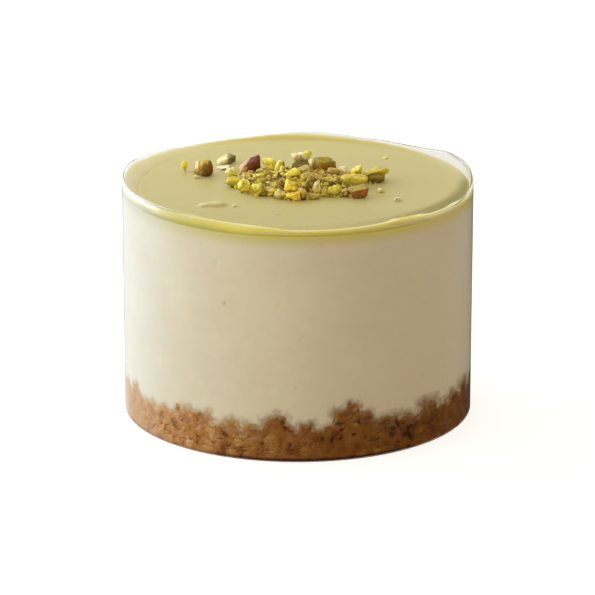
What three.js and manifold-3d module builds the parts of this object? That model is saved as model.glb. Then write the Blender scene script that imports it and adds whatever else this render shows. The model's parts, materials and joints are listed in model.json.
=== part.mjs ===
// Pistachio cheesecake cup: a straight clear cup holding a crumb base, a deep cheesecake filling
// and a thin pistachio glaze, with chopped pistachios heaped in the middle.
// Units are millimetres, +Z is up, and the origin is the middle of the cup's underside.
// The front of the cup faces -Y and its right side faces +X.
import * as THREE from "three";
import { ConvexGeometry } from "three/addons/geometries/ConvexGeometry.js";
import { mergeVertices } from "three/addons/utils/BufferGeometryUtils.js";
import Module from "manifold-3d";

// Driving dimensions of the cup
const CUP_DIAMETER = 72;
const CUP_HEIGHT = 49;
const WALL = 0.7;
const FLOOR = 0.8;
const LIP_ROUND = 0.3;
const FOOT_ROUND = 0.5;

// Driving dimensions of what the cup holds
const GAP = 0.3;
const CRUMB_LEVEL = 6.7;
const CRUMB_UNEVENNESS = 0.35;
const CRAG_DEPTH = 4;
const CRUMB_PIT = 0.7;
const GLAZE_BELOW_RIM = 1.9;
const GLAZE_THICKNESS = 1.1;
const GLAZE_CLIMB = 0.9;
const GLAZE_CLIMB_WIDTH = 1.6;
const GLAZE_EDGE = 0.15;
const CHIP_SINK = 0.15;
const CHIP_BLOCKINESS = 5;
const CHIP_JITTER = 0.22;
const MOUND_LEAST_RADIUS = 8;
const MOUND_HEIGHT = 2;
const MOUND_EDGE = 0.4;
const SMALLEST_CRUMB = 1.4;
const LARGEST_CRUMB = 3.4;
const CRUMBLE_COUNT = 90;
const GOLDEN_ANGLE = Math.PI * (3 - Math.sqrt(5));

// How finely the round shapes are divided
const CUP_SEGMENTS = 80;
const CRUMB_SEGMENTS = 150;
const MOUND_SEGMENTS = 32;
const GLAZE_CLIMB_STEPS = 4;

// Heights and radii that follow from the sizes above
const CUP_RADIUS = CUP_DIAMETER / 2;
const FILL_RADIUS = CUP_RADIUS - WALL - GAP;
const CRUMB_BOTTOM = FLOOR + GAP;
const GLAZE_TOP = CUP_HEIGHT - GLAZE_BELOW_RIM;
const GLAZE_BOTTOM = GLAZE_TOP - GLAZE_THICKNESS;
const FILLING_TOP = GLAZE_BOTTOM - GAP;
const CRAG_CLEARANCE = 1.5 * GAP;

const wasm = await Module();
wasm.setup();

// A repeatable random number between 0 and 1
function seededRandom(seed) {
  let state = seed >>> 0;
  return () => {
    state = (Math.imul(state, 1664525) + 1013904223) >>> 0;
    return state / 4294967296;
  };
}

function radians(degrees) {
  return THREE.MathUtils.degToRad(degrees);
}

// Direction on the cup at an angle in degrees from the front, positive towards the right side
function aroundFromFront(degrees) {
  return radians(degrees - 90);
}

// Joins and cuts

// A closed solid for joining, from a geometry whose corners are merged
function solidFrom(geometry) {
  const bare = geometry.clone();
  bare.deleteAttribute("normal");
  bare.deleteAttribute("uv");
  const merged = mergeVertices(bare, 1e-5);
  return new wasm.Manifold(
    new wasm.Mesh({
      numProp: 3,
      vertProperties: new Float32Array(merged.attributes.position.array),
      triVerts: new Uint32Array(merged.index.array),
    }),
  );
}

function geometryFrom(solid) {
  const mesh = solid.getMesh();
  const geometry = new THREE.BufferGeometry();
  geometry.setAttribute("position", new THREE.BufferAttribute(mesh.vertProperties, 3));
  geometry.setIndex(new THREE.BufferAttribute(mesh.triVerts, 1));
  geometry.computeVertexNormals();
  return geometry;
}

// The largest body of a join: a scrap that touches nothing is dropped
function largestBody(solid) {
  const bodies = solid.decompose();
  return bodies.reduce((best, body) => (body.volume() > best.volume() ? body : best));
}

// A closed round body through stations from the axis at the bottom to the axis at the top.
// Each station gives the radius and height at an angle; the first and last are single points.
// Each face is divided from its wider ring to its narrower one, so that two bodies on the same
// rings match.
function unevenRound(stations, segments) {
  const rings = stations.slice(1, -1);
  const positions = [];
  const radii = [];
  for (const station of rings) {
    for (let segment = 0; segment < segments; segment += 1) {
      const angle = (2 * Math.PI * segment) / segments;
      const [radius, height] = station(angle);
      positions.push(radius * Math.cos(angle), radius * Math.sin(angle), height);
      radii.push(radius);
    }
  }
  const lowPole = rings.length * segments;
  const highPole = lowPole + 1;
  for (const pole of [stations[0], stations[stations.length - 1]]) {
    positions.push(0, 0, pole(0)[1]);
  }
  const faces = [];
  const lastRing = (rings.length - 1) * segments;
  for (let segment = 0; segment < segments; segment += 1) {
    const next = (segment + 1) % segments;
    faces.push(lowPole, next, segment);
    faces.push(highPole, lastRing + segment, lastRing + next);
    for (let ring = 0; ring < rings.length - 1; ring += 1) {
      const low = ring * segments;
      const high = low + segments;
      if (radii[low] < radii[high]) {
        faces.push(low + segment, low + next, high + segment);
        faces.push(low + next, high + next, high + segment);
      } else {
        faces.push(low + segment, low + next, high + next);
        faces.push(low + segment, high + next, high + segment);
      }
    }
  }
  const geometry = new THREE.BufferGeometry();
  geometry.setAttribute("position", new THREE.Float32BufferAttribute(positions, 3));
  geometry.setIndex(faces);
  geometry.computeVertexNormals();
  return geometry;
}

// Points of an elliptical arc for a lathe profile, between two angles in degrees
function arcPoints(middle, halfWidth, halfHeight, start, end, steps) {
  const points = [];
  for (let step = 0; step <= steps; step += 1) {
    const angle = radians(start + ((end - start) * step) / steps);
    const offset = new THREE.Vector2(halfWidth * Math.cos(angle), halfHeight * Math.sin(angle));
    points.push(offset.add(middle));
  }
  return points;
}

// A lathe body stands along Z: its profile is radius and height
function turned(profile, segments) {
  const geometry = new THREE.LatheGeometry(profile, segments);
  geometry.rotateX(Math.PI / 2);
  return geometry;
}

// The clear cup: a flat floor, a straight thin wall and a rounded lip
function cupGeometry() {
  const foot = new THREE.Vector2(CUP_RADIUS - FOOT_ROUND, FOOT_ROUND);
  const lip = new THREE.Vector2(CUP_RADIUS - WALL / 2, CUP_HEIGHT - LIP_ROUND);
  const profile = [
    new THREE.Vector2(0, 0),
    ...arcPoints(foot, FOOT_ROUND, FOOT_ROUND, -90, 0, 2),
    ...arcPoints(lip, WALL / 2, LIP_ROUND, 0, 180, 4),
    new THREE.Vector2(CUP_RADIUS - WALL, FLOOR),
    new THREE.Vector2(0, FLOOR),
  ];
  return turned(profile, CUP_SEGMENTS);
}

// The crumb's highest lumps against the wall at the front and sides: where each stands in degrees
// from the front, how far it rises above the crumb's level and how wide it is
const FRONT_CRAGS = [
  { at: -80, rise: 0.9, width: 5 },
  { at: -69, rise: 1.9, width: 3.5 },
  { at: -48, rise: 0.7, width: 6 },
  { at: -43, rise: 2.6, width: 1.4 },
  { at: -34, rise: 1.5, width: 7 },
  { at: -22, rise: 1.2, width: 4 },
  { at: -15, rise: 1.2, width: 3 },
  { at: -7, rise: 3.2, width: 5 },
  { at: 3, rise: 1.3, width: 3 },
  { at: 10.5, rise: 0.6, width: 2 },
  { at: 15, rise: 3.6, width: 5 },
  { at: 18, rise: 5.2, width: 3.4 },
  { at: 22, rise: 3, width: 4 },
  { at: 30, rise: 1.2, width: 6 },
  { at: 38.5, rise: 0.7, width: 3.5 },
  { at: 48, rise: 1.9, width: 5 },
  { at: 64, rise: 1.2, width: 5 },
  { at: 72, rise: 2.2, width: 4 },
  { at: 84, rise: 1.6, width: 5 },
];
const BACK_CRAG_COUNT = 22;

// The far side has lumps of the same kind, spread by a rule
function backCrags() {
  const random = seededRandom(11);
  const crags = [];
  for (let index = 0; index < BACK_CRAG_COUNT; index += 1) {
    crags.push({
      at: 93 + ((index + 0.8 * random()) * 172) / BACK_CRAG_COUNT,
      rise: 0.5 + 3.2 * random() ** 2,
      width: 2.5 + 3.5 * random(),
    });
  }
  return crags;
}

const CRAGS = [...FRONT_CRAGS, ...backCrags()];

// Height of the crumb's top edge above its level, at an angle round the cup
function cragRise(angle) {
  let highest = 0;
  for (const crag of CRAGS) {
    const turn = angle - aroundFromFront(crag.at);
    const along = Math.abs(Math.atan2(Math.sin(turn), Math.cos(turn))) * FILL_RADIUS;
    const edge = THREE.MathUtils.smoothstep(along, 0.28 * crag.width, 0.62 * crag.width);
    highest = Math.max(highest, crag.rise * (1 - edge));
  }
  return highest;
}

// A gentle unevenness that runs right across the crumb's top
function crumbRipple(x, y) {
  const wave = Math.sin(0.9 * x + 1.3) * Math.cos(0.8 * y - 0.4);
  const finer = Math.sin(1.7 * y - 0.6 * x) * Math.cos(1.4 * x + 0.5 * y + 2);
  return CRUMB_UNEVENNESS * (0.6 * wave + 0.4 * finer);
}

function crumbTop(radius, angle) {
  const inward = FILL_RADIUS - radius;
  const fade = 1 - THREE.MathUtils.smoothstep(inward, 0.3 * CRAG_DEPTH, CRAG_DEPTH);
  const ripple = crumbRipple(radius * Math.cos(angle), radius * Math.sin(angle));
  return CRUMB_LEVEL + cragRise(angle) * fade + ripple;
}

// Rings of the crumb's top surface, from the wall inwards
const CRUMB_RINGS = [FILL_RADIUS, FILL_RADIUS - 1.6, FILL_RADIUS - CRAG_DEPTH, 18];
const CRUMB_SIDE_ROWS = 3;

// The crumb base: flat below, craggy on top, with shallow pits in the side pressed on the wall
function crumbGeometry() {
  const random = seededRandom(5);
  const stations = [() => [0, CRUMB_BOTTOM], () => [FILL_RADIUS, CRUMB_BOTTOM]];
  for (let row = 1; row < CRUMB_SIDE_ROWS; row += 1) {
    const share = row / CRUMB_SIDE_ROWS;
    stations.push((angle) => {
      const top = crumbTop(FILL_RADIUS, angle);
      const pit = CRUMB_PIT * random() ** 2;
      return [FILL_RADIUS - pit, CRUMB_BOTTOM + share * (top - CRUMB_BOTTOM)];
    });
  }
  for (const radius of CRUMB_RINGS) {
    stations.push((angle) => [radius, crumbTop(radius, angle)]);
  }
  stations.push(() => [0, crumbTop(0, 0)]);
  return unevenRound(stations, CRUMB_SEGMENTS);
}

// The cheesecake filling: its underside follows the crumb's crags, its top is level
function fillingGeometry() {
  const stations = [() => [0, crumbTop(0, 0) + CRAG_CLEARANCE]];
  for (const radius of [...CRUMB_RINGS].reverse()) {
    stations.push((angle) => [radius, crumbTop(radius, angle) + CRAG_CLEARANCE]);
  }
  stations.push(() => [FILL_RADIUS, FILLING_TOP]);
  stations.push(() => [0, FILLING_TOP]);
  return unevenRound(stations, CRUMB_SEGMENTS);
}

// The twelve corners that a bit of chopped nut starts from
function chipCorners() {
  const golden = (1 + Math.sqrt(5)) / 2;
  const corners = [];
  for (const short of [-1, 1]) {
    for (const long of [-golden, golden]) {
      corners.push([0, short, long], [short, long, 0], [long, 0, short]);
    }
  }
  return corners;
}

// One angular bit of chopped nut: the hull of its corners, pushed out towards a block, jittered and
// stretched to the bit's size, with its lowest corner on the ground or lifted above it
function chipGeometry(chip, ground, random) {
  const points = chipCorners().map((corner) => {
    const block = corner.reduce((sum, value) => sum + Math.abs(value) ** CHIP_BLOCKINESS, 0);
    const reach = (1 - CHIP_JITTER * random()) / block ** (1 / CHIP_BLOCKINESS);
    return new THREE.Vector3(...corner).multiplyScalar(reach);
  });
  const geometry = new ConvexGeometry(points);
  geometry.center();
  geometry.computeBoundingBox();
  const whole = geometry.boundingBox.getSize(new THREE.Vector3()).toArray();
  geometry.scale(...chip.size.map((side, axis) => side / whole[axis]));
  geometry.rotateY(radians(chip.tilt));
  geometry.rotateZ(radians(chip.turn));
  geometry.computeBoundingBox();
  geometry.translate(chip.x, chip.y, ground + chip.lift - geometry.boundingBox.min.z);
  return geometry;
}

// The chopped pistachios of the heap that show: place on the glaze, lift above it, size as width,
// depth and height, turn about the upright and tilt to one side in degrees
const HEAP_CHIPS = [
  { x: -11, y: -5.5, lift: 0, size: [2.3, 2.2, 2.5], turn: 20, tilt: 10 },
  { x: -8, y: -7.8, lift: 0, size: [3, 2.2, 2], turn: -10, tilt: -8 },
  { x: -5.5, y: -7.8, lift: 0, size: [2.5, 2.2, 2], turn: 35, tilt: 0 },
  { x: -3.6, y: -10, lift: 0, size: [2.6, 2.2, 1.9], turn: 10, tilt: 6 },
  { x: -1.4, y: -9.4, lift: 0.9, size: [2.5, 2.3, 2.2], turn: 0, tilt: 12 },
  { x: -1, y: -11.6, lift: 0, size: [3.1, 2.2, 1.9], turn: -14, tilt: 0 },
  { x: 1, y: -10.8, lift: 0, size: [1.6, 1.8, 2.1], turn: 25, tilt: 0 },
  { x: 2, y: -6.8, lift: 0.2, size: [1.8, 2.4, 2.9], turn: 8, tilt: -6 },
  { x: 3.6, y: -7.6, lift: 0, size: [2, 2, 2.4], turn: 30, tilt: 0 },
  { x: 3.2, y: -10.4, lift: 0, size: [3, 1.6, 0.9], turn: -6, tilt: 0 },
  { x: 5.4, y: -8.2, lift: 0, size: [1.5, 1.5, 1.3], turn: 15, tilt: 0 },
  { x: 7.4, y: -8.4, lift: 0, size: [2.7, 2.2, 2.1], turn: -18, tilt: 8 },
  { x: 9.7, y: -8.4, lift: 0, size: [1.8, 1.6, 1.3], turn: 40, tilt: 0 },
  { x: 12.3, y: -8.8, lift: 0, size: [4, 2.2, 2.7], turn: 6, tilt: -12 },
  { x: 11.4, y: -1.4, lift: 0, size: [5.7, 3, 2.6], turn: -8, tilt: 10 },
  { x: 16, y: 3.4, lift: 0, size: [5.2, 3, 2], turn: 10, tilt: -12 },
  { x: 12, y: 8, lift: 0, size: [2.9, 2.4, 2], turn: -30, tilt: 0 },
  { x: 9.4, y: 3.8, lift: 0.5, size: [1.6, 1.6, 2.1], turn: 12, tilt: 0 },
  { x: 7.4, y: 3.4, lift: 0.5, size: [2.6, 2.2, 2], turn: -5, tilt: 0 },
  { x: 6, y: 6.8, lift: 0, size: [4, 3.4, 3.8], turn: -4, tilt: -4 },
  { x: 0.6, y: 9, lift: 0.6, size: [3.5, 2.6, 2.6], turn: 2, tilt: 0 },
  { x: -0.2, y: 10.2, lift: 1.9, size: [2.6, 2, 2.4], turn: 18, tilt: 14 },
  { x: 2.4, y: 10.1, lift: 2.1, size: [1.4, 1.6, 2.9], turn: 0, tilt: 24 },
  { x: 2.9, y: 8.4, lift: 1, size: [1.5, 2.2, 2.9], turn: 12, tilt: 0 },
  { x: 0.8, y: 2.6, lift: 1, size: [2.6, 3, 2.9], turn: 24, tilt: 16 },
  { x: 1.2, y: -1.6, lift: 0.8, size: [2.4, 2.6, 2.4], turn: -20, tilt: 0 },
  { x: -1.6, y: -1.4, lift: 0.8, size: [3.8, 3, 2.6], turn: 8, tilt: -8 },
  { x: 4.2, y: -3.4, lift: 0.6, size: [4.3, 2.2, 2.1], turn: -14, tilt: 20 },
  { x: 6.2, y: -1.6, lift: 0.4, size: [1.9, 1.8, 1.7], turn: 0, tilt: 0 },
  { x: 7.8, y: -2, lift: 0.4, size: [2.2, 2, 1.9], turn: 30, tilt: 0 },
  { x: -9.6, y: 10.2, lift: 0, size: [4.7, 2.6, 3.6], turn: 6, tilt: -22 },
  { x: -6, y: 9.4, lift: 0.5, size: [2.8, 2.2, 2.1], turn: -12, tilt: 0 },
  { x: -3.8, y: 5.4, lift: 0.4, size: [1.7, 2.2, 3.6], turn: 4, tilt: 26 },
  { x: -3.2, y: 2.2, lift: 0.6, size: [1.6, 2.2, 2.6], turn: -8, tilt: 10 },
  { x: -8, y: 1, lift: 0.2, size: [2.6, 2.4, 2.1], turn: 22, tilt: 0 },
  { x: -5.8, y: 1.2, lift: 0.4, size: [2.6, 2.4, 2.2], turn: -16, tilt: 0 },
  { x: -10.2, y: 5.4, lift: 0, size: [2.8, 2, 1.2], turn: 10, tilt: 0 },
  { x: -13.4, y: -0.8, lift: 0, size: [3.1, 2.5, 2.1], turn: -10, tilt: 12 },
];

// How far the mound under the bits reaches from its middle in a direction: as far as the outermost
// bit that lies there, and never less than its least radius
function moundReach(angle) {
  let reach = MOUND_LEAST_RADIUS;
  for (const chip of HEAP_CHIPS) {
    const distance = Math.hypot(chip.x, chip.y);
    const turn = angle - Math.atan2(chip.y, chip.x);
    const apart = Math.abs(Math.atan2(Math.sin(turn), Math.cos(turn)));
    const share = 1 - THREE.MathUtils.smoothstep(apart, radians(5), radians(30));
    reach = Math.max(reach, MOUND_LEAST_RADIUS + (distance - MOUND_LEAST_RADIUS) * share);
  }
  return reach;
}

// The mound's height above the glaze at a share of its reach
function moundRise(share) {
  return MOUND_EDGE + (MOUND_HEIGHT - MOUND_EDGE) * (1 - share ** 2);
}

function moundGeometry(ground) {
  const stations = [() => [0, ground], (angle) => [moundReach(angle), ground]];
  for (const share of [1, 0.72, 0.36]) {
    stations.push((angle) => [share * moundReach(angle), ground + moundRise(share)]);
  }
  stations.push(() => [0, ground + MOUND_HEIGHT]);
  return unevenRound(stations, MOUND_SEGMENTS);
}

// Smaller bits and crumbs between the larger ones, spread over the mound by a rule
function crumble(random) {
  const crumbs = [];
  for (let index = 0; index < CRUMBLE_COUNT; index += 1) {
    const angle = index * GOLDEN_ANGLE;
    const share = Math.sqrt((index + 0.5) / CRUMBLE_COUNT);
    const size = SMALLEST_CRUMB + (LARGEST_CRUMB - SMALLEST_CRUMB) * random() * (1 - 0.6 * share);
    crumbs.push({
      x: moundReach(angle) * share * Math.cos(angle),
      y: moundReach(angle) * share * Math.sin(angle),
      lift: moundRise(share) - MOUND_EDGE,
      size: [size, 0.9 * size, 0.8 * size],
      turn: 180 * random(),
      tilt: 20 * random(),
    });
  }
  return crumbs;
}

// The heap of chopped pistachios: the mound with every bit and crumb fused on
function heapGeometry() {
  const random = seededRandom(29);
  const ground = GLAZE_TOP + GAP;
  const parts = [solidFrom(moundGeometry(ground))];
  for (const chip of [...HEAP_CHIPS, ...crumble(random)]) {
    parts.push(solidFrom(chipGeometry(chip, ground, random)));
  }
  return geometryFrom(largestBody(wasm.Manifold.union(parts)));
}

// Bits of pistachio that lie on the glaze apart from the heap, and two that it covers
const LOOSE_CHIPS = [
  { x: -19.2, y: 8.6, lift: 0, size: [4.5, 3.6, 3.3], turn: 12, tilt: -8 },
  { x: -23.6, y: 11.6, lift: 0, size: [1.5, 1.6, 2], turn: 0, tilt: 8 },
  { x: -14.6, y: 19, lift: 0, size: [4.3, 3, 1.3], turn: 24, tilt: -8 },
  { x: -13.8, y: 7.2, lift: 0, size: [2.1, 1.8, 1.4], turn: 10, tilt: 0 },
  { x: 17, y: -5, lift: 0, size: [1.5, 1.3, 0.9], turn: 20, tilt: 0 },
  { x: 20.2, y: -11.5, lift: 0, size: [1.7, 1.2, 0.8], turn: -10, tilt: 0 },
  { x: 18.4, y: 22, lift: 0, size: [1.2, 1.2, 0.6], turn: 0, tilt: 0 },
  { x: -17.6, y: -12.6, lift: -0.1, size: [5.4, 2.6, 0.9], turn: 6, tilt: 0 },
  { x: -13.6, y: -14.2, lift: -0.1, size: [1, 1, 0.6], turn: 30, tilt: 0 },
];

// The pistachio glaze: a level disc that climbs a little where it meets the wall
function glazeGeometry() {
  const random = seededRandom(17);
  const profile = [
    new THREE.Vector2(0, GLAZE_BOTTOM),
    new THREE.Vector2(FILL_RADIUS, GLAZE_BOTTOM),
    new THREE.Vector2(FILL_RADIUS, GLAZE_TOP + GLAZE_CLIMB),
  ];
  for (let step = 0; step <= GLAZE_CLIMB_STEPS; step += 1) {
    const share = step / GLAZE_CLIMB_STEPS;
    const radius = FILL_RADIUS - GLAZE_EDGE - GLAZE_CLIMB_WIDTH * share;
    profile.push(new THREE.Vector2(radius, GLAZE_TOP + GLAZE_CLIMB * (1 - share) ** 2));
  }
  profile.push(new THREE.Vector2(0, GLAZE_TOP));
  const parts = [solidFrom(turned(profile, CUP_SEGMENTS))];
  for (const chip of LOOSE_CHIPS) {
    parts.push(solidFrom(chipGeometry(chip, GLAZE_TOP - CHIP_SINK, random)));
  }
  return geometryFrom(largestBody(wasm.Manifold.union(parts)));
}

// Colours and finishes
const clearPlastic = new THREE.MeshStandardMaterial({
  color: 0xf2f4f2,
  roughness: 0.05,
  metalness: 0,
  transparent: true,
  opacity: 0.25,
});
const biscuitCrumb = new THREE.MeshStandardMaterial({
  color: 0xa0703c,
  roughness: 0.85,
  metalness: 0,
});
const creamyCheesecake = new THREE.MeshStandardMaterial({
  color: 0xece3cd,
  roughness: 0.55,
  metalness: 0,
});
const glossyGlaze = new THREE.MeshStandardMaterial({
  color: 0xc9bf85,
  roughness: 0.25,
  metalness: 0,
});
const choppedPistachio = new THREE.MeshStandardMaterial({
  color: 0xa8a23a,
  roughness: 0.75,
  metalness: 0,
});

// The assembled cup
const cheesecakeCup = new THREE.Group();

function addPiece(name, geometry, material) {
  const mesh = new THREE.Mesh(geometry, material);
  mesh.name = name;
  cheesecakeCup.add(mesh);
}

addPiece("cup", cupGeometry(), clearPlastic);
addPiece("crumb_base", crumbGeometry(), biscuitCrumb);
addPiece("cheesecake_filling", fillingGeometry(), creamyCheesecake);
addPiece("pistachio_glaze", glazeGeometry(), glossyGlaze);
addPiece("pistachio_heap", heapGeometry(), choppedPistachio);

export default cheesecakeCup;
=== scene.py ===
"""Pistachio cheesecake cup: the looks of a filled dessert cup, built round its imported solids.

A clear cup holds a crumb base, a deep cheesecake filling and a thin pistachio glaze, with chopped
pistachios heaped in the middle. The file is laid out as an add-on and is run as a script. Everything
is in metres in the part's own frame: the cup stands on z = 0 and its front faces -Y.
"""

import json
import math

import bmesh
import bpy
import numpy as np
from bpy.props import FloatProperty, FloatVectorProperty, IntProperty, PointerProperty
from mathutils import Euler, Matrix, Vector, noise

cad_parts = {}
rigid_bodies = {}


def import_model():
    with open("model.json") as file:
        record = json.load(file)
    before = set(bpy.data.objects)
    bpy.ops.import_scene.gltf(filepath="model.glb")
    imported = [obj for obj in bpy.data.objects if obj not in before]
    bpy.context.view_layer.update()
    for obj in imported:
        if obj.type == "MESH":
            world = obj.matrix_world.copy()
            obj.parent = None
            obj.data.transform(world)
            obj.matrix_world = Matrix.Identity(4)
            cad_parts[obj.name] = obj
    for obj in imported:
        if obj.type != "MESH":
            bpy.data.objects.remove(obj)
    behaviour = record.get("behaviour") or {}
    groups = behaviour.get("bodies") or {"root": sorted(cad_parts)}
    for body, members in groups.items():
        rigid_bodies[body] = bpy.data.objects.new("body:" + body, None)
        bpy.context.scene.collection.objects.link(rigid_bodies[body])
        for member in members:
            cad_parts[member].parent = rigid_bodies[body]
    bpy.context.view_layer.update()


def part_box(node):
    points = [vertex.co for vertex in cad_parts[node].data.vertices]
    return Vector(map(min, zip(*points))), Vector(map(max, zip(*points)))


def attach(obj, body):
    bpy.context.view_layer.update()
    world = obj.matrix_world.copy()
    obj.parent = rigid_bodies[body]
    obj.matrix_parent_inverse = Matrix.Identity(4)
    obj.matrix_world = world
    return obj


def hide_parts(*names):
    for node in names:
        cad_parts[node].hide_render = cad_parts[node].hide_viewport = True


bl_info = {
    "name": "Pistachio Cheesecake Cup",
    "version": (1, 0, 0),
    "blender": (4, 5, 0),
    "location": "View3D > Sidebar > Cheesecake",
    "description": "Builds a layered pistachio cheesecake in its clear cup",
    "category": "Object",
}

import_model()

MM = 0.001
DEGREE = math.pi / 180
BODY = "root"

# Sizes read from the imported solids, in metres
CUP_LOW, CUP_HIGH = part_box("cup")
GLAZE_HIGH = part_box("pistachio_glaze")[1]
CUP_RADIUS = CUP_HIGH.x
CUP_HEIGHT = CUP_HIGH.z
FILL_RADIUS = GLAZE_HIGH.x

# Levels inside the cup, in metres
GLAZE_LEVEL = CUP_HEIGHT - 1.9 * MM
GLAZE_UNDERSIDE = CUP_HEIGHT - 2.6 * MM
CRUMB_LEVEL = 6.7 * MM

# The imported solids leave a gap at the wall. The pieces here close it and reach a little into the
# wall, so that no air shows between them and the cup
WALL_GAP = 0.3 * MM
INTO_WALL = 0.12 * MM
WALL_RADIUS = FILL_RADIUS + WALL_GAP + INTO_WALL


def srgb(red, green, blue):
    """A colour given as 0 to 255 on screen, as the linear values that a shader takes."""
    shares = (value / 255 for value in (red, green, blue))
    return tuple(s / 12.92 if s <= 0.04045 else ((s + 0.055) / 1.055) ** 2.4 for s in shares)


# Mesh helpers


def smooth_step(value, low, high):
    """0 below low, 1 above high and a smooth rise between them, also for falling limits."""
    share = np.clip((value - low) / (high - low), 0.0, 1.0)
    return share * share * (3.0 - 2.0 * share)


def from_front(degrees):
    """The angle about Z of a place given in degrees from the cup's front, positive to its right."""
    return math.radians(degrees - 90.0)


def ring_angles(columns):
    """The angle about Z of each column of points, in radians."""
    return np.arange(columns) * (2.0 * math.pi / columns)


def mesh_object(name, points, faces, attributes=None, smooth=True):
    """A mesh object from arrays of points and faces, with named values on its points."""
    mesh = bpy.data.meshes.new(name)
    mesh.from_pydata([tuple(p) for p in points], [], [tuple(f) for f in faces])
    mesh.polygons.foreach_set("use_smooth", [smooth] * len(mesh.polygons))
    for key, values in (attributes or {}).items():
        values = np.asarray(values, dtype=np.float32)
        if values.ndim == 2:
            layer = mesh.attributes.new(key, "FLOAT_COLOR", "POINT")
            layer.data.foreach_set("color", values.ravel())
        else:
            layer = mesh.attributes.new(key, "FLOAT", "POINT")
            layer.data.foreach_set("value", values)
    mesh.update()
    piece = bpy.data.objects.new(name, mesh)
    bpy.context.scene.collection.objects.link(piece)
    return piece


def round_body(name, radii, heights, attributes=None, corners=0.0):
    """A closed round body from rings of radii and heights, each an array of rows by columns.

    The rows run from the middle of the underside outwards, up and back to the middle of the top.
    The first and last rows close on one point each. Edges sharper than the angle corners stay crisp.
    """
    rows, columns = radii.shape
    angles = ring_angles(columns)[None, :]
    x = radii * np.cos(angles)
    y = radii * np.sin(angles)
    rings = np.stack([x, y, heights], axis=-1).reshape(-1, 3)
    low_pole = (0.0, 0.0, float(heights[0].mean()))
    high_pole = (0.0, 0.0, float(heights[-1].mean()))
    points = np.concatenate([rings, [low_pole], [high_pole]])
    column = np.arange(columns)
    following = (column + 1) % columns
    start = (np.arange(rows - 1) * columns)[:, None]
    quads = np.stack(
        [start + column, start + following, start + following + columns, start + column + columns],
        axis=-1,
    ).reshape(-1, 4)
    last = (rows - 1) * columns
    faces = [tuple(quad) for quad in quads]
    faces += [(rows * columns, int(b), int(a)) for a, b in zip(column, following)]
    faces += [(rows * columns + 1, int(last + a), int(last + b)) for a, b in zip(column, following)]
    padded = {}
    for key, values in (attributes or {}).items():
        ends = [values[0].mean(), values[-1].mean()]
        padded[key] = np.concatenate([values.ravel(), ends])
    piece = mesh_object(name, points, faces, padded)
    if corners:
        piece.data.set_sharp_from_angle(angle=corners)
    return piece


def ring_body(name, radii, heights, attributes, corners=0.9):
    """A closed ring round the cup from rows of radii and heights that run once round its section."""
    rows, columns = radii.shape
    angles = ring_angles(columns)[None, :]
    points = np.stack([radii * np.cos(angles), radii * np.sin(angles), heights], axis=-1).reshape(-1, 3)
    column = np.arange(columns)
    following = (column + 1) % columns
    row = (np.arange(rows) * columns)[:, None]
    next_row = (((np.arange(rows) + 1) % rows) * columns)[:, None]
    faces = np.stack([row + column, row + following, next_row + following, next_row + column], axis=-1)
    values = {key: value.ravel() for key, value in attributes.items()}
    piece = mesh_object(name, points, [tuple(face) for face in faces.reshape(-1, 4)], values)
    piece.data.set_sharp_from_angle(angle=corners)
    return piece


def wear(piece, material):
    """Gives a piece its one material."""
    piece.data.materials.clear()
    piece.data.materials.append(material)


def wave_noise(x, y, z, seed):
    """Smooth noise of about -1 to 1 on arrays of points, a sum of turned waves."""
    draws = np.random.default_rng(seed)
    total = np.zeros(np.broadcast(x, y, z).shape)
    for _ in range(6):
        direction = draws.normal(size=3)
        direction /= np.linalg.norm(direction)
        pitch = draws.uniform(0.7, 1.5)
        phase = draws.uniform(0.0, 2.0 * math.pi)
        along = x * direction[0] + y * direction[1] + z * direction[2]
        total = total + np.sin(pitch * along + phase + 1.3 * np.sin(0.6 * along + phase))
    return total / 3.0


# Node helpers


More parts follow.
